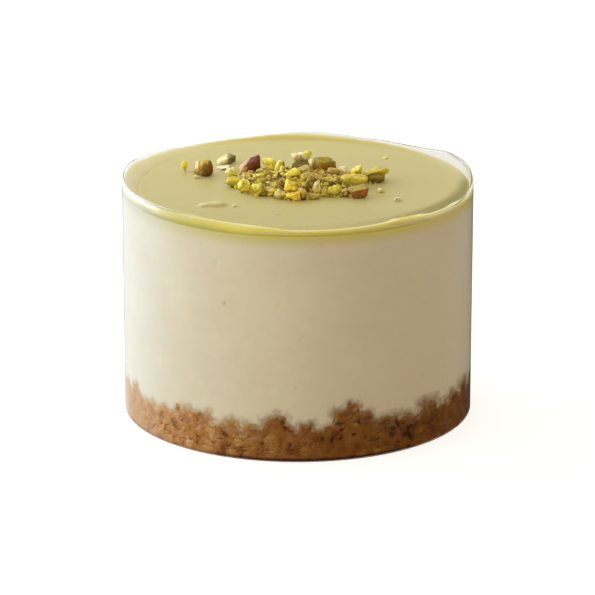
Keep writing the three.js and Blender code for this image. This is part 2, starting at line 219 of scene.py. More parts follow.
class Wiring:
    """Adds nodes to a tree and joins them, so that a material reads as a short list."""

    def __init__(self, tree):
        """Takes the node tree that the nodes go into."""
        self.tree = tree

    def add(self, kind, settings=None, **inputs):
        """A node with its settings, and with inputs by name: a value or the output that feeds it."""
        node = self.tree.nodes.new(kind)
        for key, value in (settings or {}).items():
            setattr(node, key, value)
        for key, value in inputs.items():
            self.feed(node.inputs[key.replace("_", " ")], value)
        return node

    def feed(self, socket, value):
        """Gives an input a number, a colour or the output that feeds it."""
        if isinstance(value, bpy.types.NodeSocket):
            self.tree.links.new(value, socket)
        elif isinstance(value, tuple) and len(value) == 3 and socket.type == "RGBA":
            socket.default_value = (*value, 1.0)
        else:
            socket.default_value = value

    def math(self, operation, first, second=0.0, clamp=False):
        """Works out one number from two."""
        node = self.tree.nodes.new("ShaderNodeMath")
        node.operation = operation
        node.use_clamp = clamp
        self.feed(node.inputs[0], first)
        self.feed(node.inputs[1], second)
        return node.outputs[0]

    def blend(self, share, first, second, kind="MIX"):
        """Mixes two colours: the first at a share of 0, the second at a share of 1."""
        node = self.tree.nodes.new("ShaderNodeMix")
        node.data_type = "RGBA"
        node.blend_type = kind
        self.feed(node.inputs["Factor"], share)
        self.feed(node.inputs[6], first)
        self.feed(node.inputs[7], second)
        return node.outputs[2]

    def band(self, value, low, high, start=0.0, end=1.0):
        """A smooth passage from start to end while the value goes from low to high."""
        node = self.tree.nodes.new("ShaderNodeMapRange")
        node.interpolation_type = "SMOOTHSTEP"
        for key, number in (
            ("Value", value),
            ("From Min", low),
            ("From Max", high),
            ("To Min", start),
            ("To Max", end),
        ):
            self.feed(node.inputs[key], number)
        return node.outputs[0]

    def mottle(self, place, scale, detail=3.0, roughness=0.55):
        """Soft noise from 0 to 1, finer with a larger scale."""
        node = self.add(
            "ShaderNodeTexNoise", Vector=place, Scale=scale, Detail=detail, Roughness=roughness
        )
        return node.outputs["Fac"]

    def bump(self, height, distance, strength=1.0):
        """The normal of a surface that has a fine relief."""
        node = self.add("ShaderNodeBump", Height=height, Distance=distance, Strength=strength)
        return node.outputs["Normal"]


def new_material(name):
    """An empty material and its wiring, with its output ready."""
    material = bpy.data.materials.new(name)
    material.use_nodes = True
    material.node_tree.nodes.clear()
    wiring = Wiring(material.node_tree)
    output = wiring.add("ShaderNodeOutputMaterial")
    return material, wiring, output


def object_place(wiring):
    """The place of each point in the part's own frame, in metres."""
    return wiring.add("ShaderNodeTexCoord").outputs["Object"]


def attribute(wiring, name, output="Fac"):
    """A value or colour that the piece's points hold under a name."""
    node = wiring.add("ShaderNodeAttribute", {"attribute_name": name})
    return node.outputs[output]


def speckle_group():
    """Shared node group: two sizes of soft mottling as one mask, for what is stirred or ground."""
    name = "Stirred Mottle"
    if name in bpy.data.node_groups:
        return bpy.data.node_groups[name]
    group = bpy.data.node_groups.new(name, "ShaderNodeTree")
    for socket, kind, default in (
        ("Place", "NodeSocketVector", None),
        ("Coarse Scale", "NodeSocketFloat", 90.0),
        ("Fine Scale", "NodeSocketFloat", 900.0),
        ("Fine Share", "NodeSocketFloat", 0.4),
    ):
        made = group.interface.new_socket(name=socket, in_out="INPUT", socket_type=kind)
        if default is not None:
            made.default_value = default
    group.interface.new_socket(name="Mask", in_out="OUTPUT", socket_type="NodeSocketFloat")
    wiring = Wiring(group)
    given = wiring.add("NodeGroupInput")
    result = wiring.add("NodeGroupOutput")
    coarse = wiring.mottle(given.outputs["Place"], given.outputs["Coarse Scale"], 2.0)
    fine = wiring.mottle(given.outputs["Place"], given.outputs["Fine Scale"], 4.0, 0.65)
    share = given.outputs["Fine Share"]
    rest = wiring.math("SUBTRACT", 1.0, share)
    both = wiring.math("ADD", wiring.math("MULTIPLY", coarse, rest), wiring.math("MULTIPLY", fine, share))
    wiring.feed(result.inputs["Mask"], both)
    return group


def mottled(wiring, place, coarse, fine, fine_share):
    """The mask of the shared mottling, with a material's own scales and share of the fine one."""
    node = wiring.add("ShaderNodeGroup", {"node_tree": speckle_group()}, Place=place)
    node.inputs["Coarse Scale"].default_value = coarse
    node.inputs["Fine Scale"].default_value = fine
    node.inputs["Fine Share"].default_value = fine_share
    return node.outputs["Mask"]


# Sizes and colours that a user may change


class CupSettings(bpy.types.PropertyGroup):
    """The clear cup."""

    wall: FloatProperty(
        name="Wall", description="Thickness of the wall", default=0.7 * MM, unit="LENGTH"
    )
    floor: FloatProperty(
        name="Floor", description="Thickness of the floor", default=0.3 * MM, unit="LENGTH"
    )
    foot_round: FloatProperty(
        name="Foot Rounding", description="Rounding of the lower edge", default=0.12 * MM, unit="LENGTH"
    )
    lip_round: FloatProperty(
        name="Lip Rounding", description="Height of the rounded lip", default=1.1 * MM, unit="LENGTH"
    )
    tint: FloatVectorProperty(
        name="Tint", description="Colour of the clear plastic", default=(0.995, 0.996, 0.99), subtype="COLOR"
    )


class CrumbSettings(bpy.types.PropertyGroup):
    """The crumb base."""

    grain: FloatProperty(
        name="Grain", description="Usual size of a lump of crumb", default=1.9 * MM, unit="LENGTH"
    )
    pit_depth: FloatProperty(
        name="Pit Depth", description="Depth of the deepest pits", default=0.55 * MM, unit="LENGTH"
    )
    # The darkest crumb tone, which is also painted into the pits and seams as shade
    dark_tone_and_pit_shade: FloatVectorProperty(
        name="Dark Crumb", description="Colour in the pits", default=srgb(106, 60, 20), subtype="COLOR"
    )
    baked: FloatVectorProperty(
        name="Baked Crumb",
        description="Usual colour of the crumb",
        default=srgb(200, 141, 76),
        subtype="COLOR",
    )
    # Painted shade: a tint that darkens the crumb towards the right, away from the light
    painted_shade_tint: FloatVectorProperty(
        name="Moist Tint",
        description="Darkens the side away from the window",
        default=(0.5, 0.4, 0.17),
        subtype="COLOR",
    )
    pale: FloatVectorProperty(
        name="Pale Crumb",
        description="Colour of the palest lumps",
        default=srgb(234, 194, 138),
        subtype="COLOR",
    )


class FillingSettings(bpy.types.PropertyGroup):
    """The cheesecake filling."""

    cream: FloatVectorProperty(
        name="Cream", description="Colour of the filling", default=srgb(245, 236, 210), subtype="COLOR"
    )
    softness: FloatProperty(
        name="Softness", description="How far light spreads inside the cream", default=1.3 * MM, unit="LENGTH"
    )


class GlazeSettings(bpy.types.PropertyGroup):
    """The pistachio glaze."""

    climb: FloatProperty(
        name="Climb", description="How far the glaze climbs the wall", default=0.5 * MM, unit="LENGTH"
    )
    climb_reach: FloatProperty(
        name="Climb Reach", description="How quickly the climb dies away", default=1.1 * MM, unit="LENGTH"
    )
    film: FloatProperty(
        name="Film", description="Height of the thin film left on the wall", default=1.0 * MM, unit="LENGTH"
    )
    colour: FloatVectorProperty(
        name="Glaze", description="Colour of the glaze", default=srgb(205, 195, 131), subtype="COLOR"
    )
    # Painted shade: the colour of the darker crescent along the wall at the front right
    deep: FloatVectorProperty(
        name="Deep Glaze", description="Colour where it is deep", default=srgb(138, 124, 22), subtype="COLOR"
    )
    side: FloatVectorProperty(
        name="Glaze Side",
        description="Colour seen through the wall",
        default=srgb(242, 226, 112),
        subtype="COLOR",
    )
    # Partly the thin glaze's own paler colour, partly a painted glow of light through the thin film
    thin: FloatVectorProperty(
        name="Thin Glaze", description="Colour where it is thin", default=srgb(220, 208, 152), subtype="COLOR"
    )


class NutSettings(bpy.types.PropertyGroup):
    """The chopped pistachios."""

    crumb_count: IntProperty(
        name="Crumbs", description="Small crumbs between the larger bits", default=1100, min=0
    )
    smallest: FloatProperty(
        name="Smallest Crumb", description="Size of the smallest crumb", default=0.4 * MM, unit="LENGTH"
    )
    largest: FloatProperty(
        name="Largest Crumb", description="Size of the largest crumb", default=1.5 * MM, unit="LENGTH"
    )
    seed: IntProperty(name="Seed", description="Picks another spread of crumbs", default=7)


class StageSettings(bpy.types.PropertyGroup):
    """The floor, the lights and the camera."""

    floor_colour: FloatVectorProperty(
        name="Floor", description="Colour of the pale floor", default=(0.44, 0.43, 0.41), subtype="COLOR"
    )
    floor_glow: FloatProperty(
        name="Floor Glow", description="How much paler the floor is seen than it lights", default=0.76
    )
    surroundings: FloatProperty(
        name="Surroundings", description="Brightness of the room", default=0.66
    )
    room_colour: FloatVectorProperty(
        name="Room Colour",
        description="Colour of the room's light",
        default=(1.0, 0.85, 0.66),
        subtype="COLOR",
    )
    room_reflected: FloatProperty(
        name="Room Reflected", description="Brightness of the room in reflections", default=0.06
    )
    window_light: FloatProperty(
        name="Window Light", description="Brightness of the large light at the left", default=2.6
    )
    left_card: FloatProperty(
        name="Left Card", description="Brightness of the low card that the wall reflects", default=0.8
    )
    rim_card: FloatProperty(
        name="Rim Card", description="Brightness of the card that the rim reflects", default=2.3
    )
    side_card: FloatProperty(
        name="Side Card", description="Brightness of the card at the front left", default=3.0
    )
    back_card: FloatProperty(
        name="Back Card", description="Brightness of the card behind", default=0.75
    )
    distance: FloatProperty(
        name="Camera Distance", description="From the middle of the cup", default=0.7263, unit="LENGTH"
    )
    pitch: FloatProperty(
        name="Camera Pitch",
        description="How far the camera looks down",
        default=math.radians(17.671),
        subtype="ANGLE",
    )
    lens: FloatProperty(name="Lens", description="Focal length in millimetres", default=212.25)


class CheesecakeSettings(bpy.types.PropertyGroup):
    """All settings of the cheesecake cup."""

    cup: PointerProperty(type=CupSettings)
    crumb: PointerProperty(type=CrumbSettings)
    filling: PointerProperty(type=FillingSettings)
    glaze: PointerProperty(type=GlazeSettings)
    nuts: PointerProperty(type=NutSettings)
    stage: PointerProperty(type=StageSettings)


# The clear cup

CUP_COLUMNS = 288

# The height at which the straight wall starts, how far below the rounded lip it ends, and the corner
# where its inner face meets the floor
WALL_START = 1.5 * MM
BELOW_LIP = 0.2 * MM
FLOOR_CORNER = 0.1 * MM

# How far below the rim its rises and dips begin
RIM_ZONE = 8.0 * MM

# Where the rim stands higher or lower: degrees from the front, rise in millimetres and the half
# width of the passage in degrees
RIM_RISES = (
    (109, 0.8, 22),
    (-98, 0.78, 20),
    (148, -0.62, 26),
    (-151, -0.75, 32),
    (-50, 0.45, 38),
    (66, -0.45, 34),
)


def between(angles, start, full, fading, end):
    """1 between two angles in degrees from the front, with a smooth passage on both sides."""
    degrees = np.degrees(np.arctan2(np.cos(angles), -np.sin(angles)))
    degrees = np.where(degrees < start - 20, degrees + 360, degrees)
    return smooth_step(degrees, start, full) * (1 - smooth_step(degrees, fading, end))


def rim_rise(angles):
    """How far the rim stands above the cup's height round the cup, in metres."""
    rise = np.zeros_like(angles)
    for at, height, half_width in RIM_RISES:
        turn = angles - from_front(at)
        apart = np.abs(np.arctan2(np.sin(turn), np.cos(turn))) / DEGREE
        rise = rise + height * (1 - smooth_step(apart, 0.25 * half_width, half_width))
    return rise * MM


def underside(angles):
    """Height of the glaze's underside at the wall: a little higher at the front left."""
    return GLAZE_UNDERSIDE + 0.4 * MM * between(angles, -105, -70, -30, -8)


def arc(middle_x, middle_z, half_x, half_z, start, end, steps):
    """Points along an ellipse from one angle to another, in degrees."""
    angles = np.radians(np.linspace(start, end, steps))
    return [(middle_x + half_x * math.cos(a), middle_z + half_z * math.sin(a)) for a in angles]


def cup_profile(settings):
    """Half of the cup's section, from the middle of its underside round to the middle of its floor."""
    outer = CUP_RADIUS
    inner = outer - settings.wall
    foot = settings.foot_round
    lip = settings.lip_round
    profile = [(outer * share, 0.0) for share in (0.02, 0.3, 0.6, 0.9)]
    profile += arc(outer - foot, foot, foot, foot, -90, 0, 7)
    profile += [(outer, z) for z in np.linspace(WALL_START, CUP_HEIGHT - lip - BELOW_LIP, 8)]
    profile += arc(outer - settings.wall / 2, CUP_HEIGHT - lip, settings.wall / 2, lip, 0, 180, 13)
    profile += [(inner, z) for z in np.linspace(CUP_HEIGHT - lip - BELOW_LIP, WALL_START, 8)]
    profile += [(inner, settings.floor + FLOOR_CORNER), (inner - FLOOR_CORNER, settings.floor)]
    profile += [(inner * share, settings.floor) for share in (0.9, 0.6, 0.3, 0.02)]
    return np.array(profile)


def clear_plastic(settings):
    """Clear plastic that lets the light of lamps and of other surfaces reach what it holds.

    Its lip bends light more where it shows as a clear edge, and hardly where it fades out.
    """
    material, wiring, output = new_material("Clear Plastic")
    place = object_place(wiring)
    smear = mottled(wiring, place, 60.0, 700.0, 0.3)
    roughness = wiring.band(smear, 0.35, 0.7, 0.015, 0.05)
    height = wiring.add("ShaderNodeSeparateXYZ", Vector=place).outputs["Z"]
    near_lip = CUP_HEIGHT - settings.lip_round - BELOW_LIP
    in_lip = wiring.band(height, near_lip - 0.3 * MM, near_lip + 0.3 * MM)
    stronger = wiring.math("MULTIPLY", in_lip, attribute(wiring, "clear_lip"))
    bending = wiring.math(
        "ADD", wiring.band(stronger, 0.0, 1.0, 1.12, 1.45), wiring.band(stronger, -1.0, 0.0, -0.1, 0.0)
    )
    plastic = wiring.add(
        "ShaderNodeBsdfPrincipled",
        Base_Color=tuple(settings.tint),
        Roughness=roughness,
        IOR=bending,
        Transmission_Weight=1.0,
    )
    clear = wiring.add("ShaderNodeBsdfTransparent")
    path = wiring.add("ShaderNodeLightPath")
    for_surfaces = wiring.add("ShaderNodeMixShader", Fac=path.outputs["Is Diffuse Ray"])
    wiring.feed(for_surfaces.inputs[1], plastic.outputs[0])
    wiring.feed(for_surfaces.inputs[2], clear.outputs[0])
    for_lamps = wiring.add("ShaderNodeMixShader", Fac=path.outputs["Is Shadow Ray"])
    wiring.feed(for_lamps.inputs[1], for_surfaces.outputs[0])
    wiring.feed(for_lamps.inputs[2], clear.outputs[0])
    wiring.feed(output.inputs["Surface"], for_lamps.outputs[0])
    return material


class CHEESECAKE_OT_cup(bpy.types.Operator):
    """Make the clear cup"""

    bl_idname = "cheesecake.cup"
    bl_label = "Clear Cup"

    def execute(self, context):
        settings = context.scene.cheesecake.cup
        profile = cup_profile(settings)
        radii = np.repeat(profile[:, :1], CUP_COLUMNS, axis=1)
        heights = np.repeat(profile[:, 1:], CUP_COLUMNS, axis=1)
        near_rim = smooth_step(profile[:, 1:], CUP_HEIGHT - RIM_ZONE, CUP_HEIGHT)
        angles = ring_angles(CUP_COLUMNS)
        heights = heights + near_rim * rim_rise(angles)[None, :]
        shown = between(angles, -86, -74, -46, -32) + 0.6 * between(angles, 84, 100, 150, 172)
        hidden = between(angles, 34, 56, 74, 88) + between(angles, 165, 195, 246, 262)
        clear_lip = np.ones_like(heights) * (shown - hidden)[None, :]
        cup = round_body("clear_cup", radii, heights, {"clear_lip": clear_lip})
        wear(cup, clear_plastic(settings))
        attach(cup, BODY)
        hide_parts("cup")
        return {"FINISHED"}


# The crumb base

# The crumb's highest lumps against the wall at the front and sides: where each stands in degrees
# from the front, and how far it rises above the crumb's level and how wide it is in millimetres
FRONT_CRAGS = (
    (-80, 0.9, 5),
    (-69, 1.9, 3.5),
    (-48, 0.7, 6),
    (-43, 2.6, 1.4),
    (-36, 2.0, 8.5),
    (-22, 1.2, 4),
    (-15, 1.2, 3),
    (-7, 3.2, 5),
    (3, 1.3, 3),
    (10.5, 0.6, 2),
    (15, 3.6, 5),
    (18, 5.2, 3.4),
    (22, 3, 4),
    (30, 1.2, 6),
    (38.5, 0.7, 3.5),
    (48, 1.9, 5),
    (64, 1.2, 5),
    (72, 2.2, 4),
    (84, 1.6, 5),
)

# The crags behind come from a seeded draw: how many there are, the degrees from the front where they
# start and the degrees that they take up
BACK_CRAG_COUNT = 22
BACK_CRAG_START = 93
BACK_CRAG_SPAN = 172
BACK_CRAG_SEED = 11

CRUMB_COLUMNS = 880
CRUMB_ROWS = 60
CRUMB_RADIUS = WALL_RADIUS + 0.03 * MM

# How far above its edge the crumb's surface is drawn, for the lumps that stand over the edge
ABOVE_EDGE = 1.9 * MM

# The lumps: their seeds, the size of a fine one as a share of a coarse one, how far they stray from
# the grid and a distance that is farther than any, the last two in lumps
COARSE_SEED = 21
FINE_SEED = 22
FINE_LUMP = 0.5
LUMP_STRAY = 0.75
OUT_OF_REACH = 9.0


def repeatable_draws(seed):
    """The same seeded numbers that the part's source draws for its far side."""
    state = seed
    while True:
        state = (state * 1664525 + 1013904223) % 4294967296
        yield state / 4294967296


def back_crags():
    """The crags at the back, in the same form as those at the front."""
    draws = repeatable_draws(BACK_CRAG_SEED)
    crags = []
    for index in range(BACK_CRAG_COUNT):
        at = BACK_CRAG_START + (index + 0.8 * next(draws)) * BACK_CRAG_SPAN / BACK_CRAG_COUNT
        rise = 0.5 + 3.2 * next(draws) ** 2
        crags.append((at, rise, 2.5 + 3.5 * next(draws)))
    return crags


def crag_rise(angles):
    """Height of the crumb's edge above its level round the cup, in metres."""
    highest = np.zeros_like(angles)
    for at, rise, width in (*FRONT_CRAGS, *back_crags()):
        turn = angles - from_front(at)
        along = np.abs(np.arctan2(np.sin(turn), np.cos(turn))) * FILL_RADIUS / MM
        highest = np.maximum(highest, rise * (1 - smooth_step(along, 0.28 * width, 0.62 * width)))
    return highest * MM


def lumps(along, height, size, seed, top_of=None):
    """The lump of crumb at each place on the wall, on a jittered grid that closes round the cup.

    Gives the distance to the nearest lump's middle and how much further the next one is, both as
    shares of a lump, that lump's own random numbers, and, with top_of, how far outside the lumps
    that lie below that edge a place is.
    """
    girth = 2.0 * math.pi * CRUMB_RADIUS
    around = int(round(girth / size))
    size_along = girth / around
    tallest = crumb_edge(ring_angles(CRUMB_COLUMNS) * CRUMB_RADIUS).max() + ABOVE_EDGE
    up = int(math.ceil(tallest / size)) + 3
    numbers = np.random.default_rng(seed).random((around, up, 6))
    column = np.floor(along / size_along).astype(int)
    row = np.floor(height / size).astype(int) + 1
    first, second, below, above = (np.full(along.shape, OUT_OF_REACH) for _ in range(4))
    own = np.zeros((*along.shape, 6))
    for step_along in (-2, -1, 0, 1, 2):
        for step_up in (-2, -1, 0, 1, 2):
            cell = column + step_along
            level = np.clip(row + step_up, 0, up - 1)
            draw = numbers[cell % around, level]
            middle_along = (cell + 0.5 + LUMP_STRAY * (draw[..., 0] - 0.5)) * size_along
            middle_up = (row + step_up - 1 + 0.5 + LUMP_STRAY * (draw[..., 1] - 0.5)) * size
            turn = draw[..., 2] * math.pi
            stretch = 1.0 + 0.7 * draw[..., 3]
            across = (along - middle_along) / size
            upward = (height - middle_up) / size
            long_way = (across * np.cos(turn) + upward * np.sin(turn)) / stretch
            short_way = upward * np.cos(turn) - across * np.sin(turn)
            distance = (np.abs(long_way) ** 3 + np.abs(short_way) ** 3) ** (1 / 3)
            nearer = distance < first
            second = np.where(nearer, first, np.minimum(second, distance))
            own = np.where(nearer[..., None], draw, own)
            first = np.where(nearer, distance, first)
            if top_of is not None:
                inside = middle_up + 0.12 * size < top_of(middle_along)
                below = np.where(inside, np.minimum(below, distance), below)
                above = np.where(inside, above, np.minimum(above, distance))
    return first, second - first, own, below - above


def crumb_edge(along):
    """Height of the crumb's edge at a distance round the wall."""
    return CRUMB_LEVEL + crag_rise(along / CRUMB_RADIUS)


def crumb_side(settings):
    """The crumb's surface pressed on the wall: places, recesses and the numbers its colours use."""
    angles = ring_angles(CRUMB_COLUMNS)
    along = np.broadcast_to(angles * CRUMB_RADIUS, (CRUMB_ROWS, CRUMB_COLUMNS))
    edge = crumb_edge(along[0])
    bottom = CUP_LOW.z + 0.08 * MM
    share = np.linspace(0.0, 1.0, CRUMB_ROWS)[:, None]
    height = bottom + share * (edge + ABOVE_EDGE - bottom)[None, :]
    fine_grain = FINE_LUMP * settings.grain
    _, gap, own, _ = lumps(along, height, settings.grain, COARSE_SEED)
    _, fine_gap, fine_own, outside = lumps(along, height, fine_grain, FINE_SEED, crumb_edge)
    angle = along / CRUMB_RADIUS
    x, y = CRUMB_RADIUS * np.cos(angle), CRUMB_RADIUS * np.sin(angle)
    pit = settings.pit_depth
    dips = wave_noise(x * 2600, y * 2600, height * 2600, 24)
    dips = dips + 0.6 * wave_noise(x * 5200, y * 5200, height * 5200, 25)
    dip = 0.6 * pit * smooth_step(dips, 0.45, 1.6)
    seam = 0.45 * pit * (1 - smooth_step(gap, 0.0, 0.35)) * smooth_step(own[..., 5], 0.6, 1.0)
    fine = 0.3 * pit * (1 - smooth_step(fine_gap, 0.0, 0.45)) * smooth_step(fine_own[..., 5], 0.65, 1.0)
    hole = pit * smooth_step(fine_own[..., 4], 0.978, 0.98) * smooth_step(fine_gap, 0.05, 0.6)
    limb = smooth_step(np.abs(np.cos(angle)), 0.8, 0.94)
    recess = (dip + seam + fine + hole) * smooth_step(height, 0.7 * MM, 1.8 * MM) * (1 - 0.8 * limb)
    flush_edge = 0.12 + 0.88 * smooth_step(edge - height, 1.0 * MM, 2.5 * MM)
    gone = 0.1 * MM * smooth_step(outside, -0.1, 0.2) + 2.5 * MM * smooth_step(outside, 0.3, 0.9)
    radius = CRUMB_RADIUS - recess * flush_edge - gone
    radius[0] = CRUMB_RADIUS - 0.1 * MM
    soft = 0.5 + 0.35 * wave_noise(x * 1500, y * 1500, height * 1500, 23)
    tone = 0.14 * own[..., 2] + 0.16 * fine_own[..., 2] + 0.7 * soft
    return height, radius, tone, recess / pit, np.clip(outside, -1, 1)


def crumb_material(settings):
    """Coarse baked crumb: lumps of differing tone, pale bits, pits painted dark as shade, a film of cream."""
    material, wiring, output = new_material("Biscuit Crumb")
    place = object_place(wiring)
    tone = attribute(wiring, "tone")
    recess = attribute(wiring, "recess")
    edge = attribute(wiring, "edge")
    grain = mottled(wiring, place, 520.0, 2400.0, 0.5)
    uneven = wiring.math("ADD", tone, wiring.math("MULTIPLY", wiring.math("SUBTRACT", grain, 0.5), 2.1))
    browned = wiring.blend(
        wiring.band(uneven, 0.05, 0.55), tuple(settings.dark_tone_and_pit_shade), tuple(settings.baked)
    )
    toned = wiring.blend(wiring.band(uneven, 0.6, 1.05), browned, tuple(settings.pale))
    pink_places = wiring.band(wiring.mottle(place, 290.0, 2.0), 0.48, 0.64, 0.0, 0.7)
    pinkish = wiring.blend(pink_places, toned, srgb(212, 158, 122))
    red_places = wiring.band(wiring.mottle(place, 350.0, 2.0), 0.36, 0.5, 0.45, 0.0)
    reddish = wiring.blend(red_places, pinkish, srgb(180, 104, 54))
    # Painted shade: the pits and seams are darkened where they are recessed
    pits_painted_dark = wiring.blend(
        wiring.band(recess, 0.25, 1.0, 0.0, 0.7), reddish, tuple(settings.dark_tone_and_pit_shade)
    )
    apart = wiring.add("ShaderNodeSeparateXYZ", Vector=place)
    across = apart.outputs["X"]
    # Painted light: the crumb is paler towards the left, where the light falls
    painted_light_left = wiring.blend(wiring.band(across, -36 * MM, -20 * MM, 0.38, 0.0), pits_painted_dark, srgb(230, 196, 154))
    # Painted shade: the tint darkens the crumb towards the right
    painted_shade_tint = wiring.blend(
        wiring.band(across, -32 * MM, 8 * MM), painted_light_left, tuple(settings.painted_shade_tint), "MULTIPLY"
    )
    # Painted shade: darker and greyer still towards the right
    deeper = wiring.blend(wiring.band(across, 6 * MM, 26 * MM), painted_shade_tint, srgb(224, 226, 236), "MULTIPLY")
    # Painted shade: the crumb is darker along its foot, next to the floor
    low = wiring.math(
        "MULTIPLY",
        wiring.band(apart.outputs["Z"], 0.25 * MM, 0.9 * MM, 0.95, 0.0),
        wiring.math(
            "MULTIPLY", wiring.band(across, -24 * MM, -8 * MM), wiring.band(across, 28 * MM, 16 * MM)
        ),
    )
    painted_foot_shade = wiring.blend(low, deeper, srgb(96, 76, 56), "MULTIPLY")
    smear = wiring.math(
        "MULTIPLY",
        wiring.band(edge, -1.0, 0.0),
        wiring.band(wiring.mottle(place, 420.0, 3.0), 0.3, 0.7, 0.3, 0.95),
    )
    # Cream seeped over the crumb's top edge, its colour painted darker towards the right as shade
    seeped_cream_shaded = wiring.blend(wiring.band(across, -28 * MM, 12 * MM), srgb(222, 196, 154), srgb(186, 156, 106))
    creamy = wiring.blend(smear, painted_foot_shade, seeped_cream_shaded)
    # Painted reflection: towards the left edge the crumb is washed out to an even pale tan and veiled in a
    # pale haze
    even = wiring.blend(wiring.band(across, -28.5 * MM, -34.0 * MM, 0.0, 0.72), creamy, srgb(206, 168, 124))
    painted_haze = wiring.band(across, -34.3 * MM, -36.0 * MM, 0.0, 0.6)
    coloured = wiring.blend(painted_haze, even, srgb(240, 220, 204))
    shader = wiring.add(
        "ShaderNodeBsdfPrincipled",
        Base_Color=coloured,
        Roughness=wiring.band(grain, 0.3, 0.7, 0.55, 0.85),
        Specular_IOR_Level=0.15,
        Normal=wiring.bump(wiring.mottle(place, 1900.0, 4.0, 0.6), 0.2 * MM, 0.4),
    )
    wiring.feed(output.inputs["Surface"], shader.outputs[0])
    return material


class CHEESECAKE_OT_crumb(bpy.types.Operator):
    """Make the crumb base"""

    bl_idname = "cheesecake.crumb"
    bl_label = "Crumb Base"

    def execute(self, context):
        settings = context.scene.cheesecake.crumb
        height, radius, tone, recess, edge = crumb_side(settings)
        bottom = float(height[0, 0])
        flat = np.ones((1, CRUMB_COLUMNS))
        inner = [radius[-1:] * 0 + r for r in (31.0 * MM, 24.0 * MM, 12.0 * MM, 2.0 * MM)]
        under = [(r, bottom) for r in (2.0 * MM, 18.0 * MM, 33.0 * MM)]
        radii = np.concatenate([flat * r for r, _ in under] + [radius] + inner)
        tops = [flat * (CRUMB_LEVEL + 0.5 * MM) for _ in inner]
        heights = np.concatenate([flat * z for _, z in under] + [height] + tops)

        def spread(values, ends=0.5):
            """The side's values, with one value for the rings of the underside and the top."""
            low = [flat * ends for _ in under]
            high = [flat * ends for _ in inner]
            return np.concatenate(low + [values] + high)

        attributes = {
            "tone": spread(tone),
            "recess": spread(recess, 0.2),
            "edge": spread(edge, -1.0),
        }
        crumb = round_body("crumb_layer", radii, heights, attributes, corners=0.7)
        wear(crumb, crumb_material(settings))
        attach(crumb, BODY)
        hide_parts("crumb_base")
        return {"FINISHED"}


# The cheesecake filling

FILLING_COLUMNS = 560
FILLING_ROWS = 96

# How far below the crumb's edge the filling is drawn, and in how many rows
SEEP_DEPTH = 2.4 * MM
SEEP_ROWS = 9

# The bubbles at the wall: how many, between which heights and of which sizes in millimetres
BUBBLE_COUNT = 46
BUBBLE_HEIGHTS = (10 * MM, 44 * MM)
BUBBLE_SIZES = (0.25, 0.6)


def filling_side(grain):
    """The filling's surface on the wall, seeping a little way down between the lumps of crumb."""
    angles = ring_angles(FILLING_COLUMNS)
    edge = CRUMB_LEVEL + crag_rise(angles)
    low = edge - SEEP_DEPTH
    seep = np.linspace(0.0, 1.0, SEEP_ROWS)[:, None]
    seep_height = low + seep * (edge - low)
    seep_radius = WALL_RADIUS - 0.03 * MM * smooth_step(1 - seep, 0.0, 0.35) * np.ones_like(edge)
    upward = np.linspace(0.0, 1.0, FILLING_ROWS)[1:, None]
    side_height = edge + upward * (underside(angles) - edge)
    side_radius = WALL_RADIUS * np.ones_like(side_height)
    height = np.concatenate([seep_height, side_height])
    radius = np.concatenate([seep_radius, side_radius])
    draws = np.random.default_rng(31)
    for _ in range(BUBBLE_COUNT):
        at = draws.uniform(0, 2 * math.pi)
        level = draws.uniform(*BUBBLE_HEIGHTS)
        size = draws.uniform(*BUBBLE_SIZES) * MM
        turn = np.arctan2(np.sin(angles - at), np.cos(angles - at)) * WALL_RADIUS
        apart = np.sqrt(turn[None, :] ** 2 + (height - level) ** 2) / size
        radius = radius - 0.35 * size * (1 - smooth_step(apart, 0.3, 1.3))
    along = np.broadcast_to(angles * CRUMB_RADIUS, height.shape)
    outside = lumps(along, height, FINE_LUMP * grain, FINE_SEED, crumb_edge)[3]
    fading = 1.3 + 1.1 * smooth_step(np.cos(angles), 0.3, 0.8) + 0.0 * height
    stain = 1.15 - 1.15 * smooth_step(outside / fading, -0.1, 1.0)
    stain = stain + 6.0 * smooth_step(edge - height, 0.2 * MM, 1.4 * MM)
    return radius, height, stain


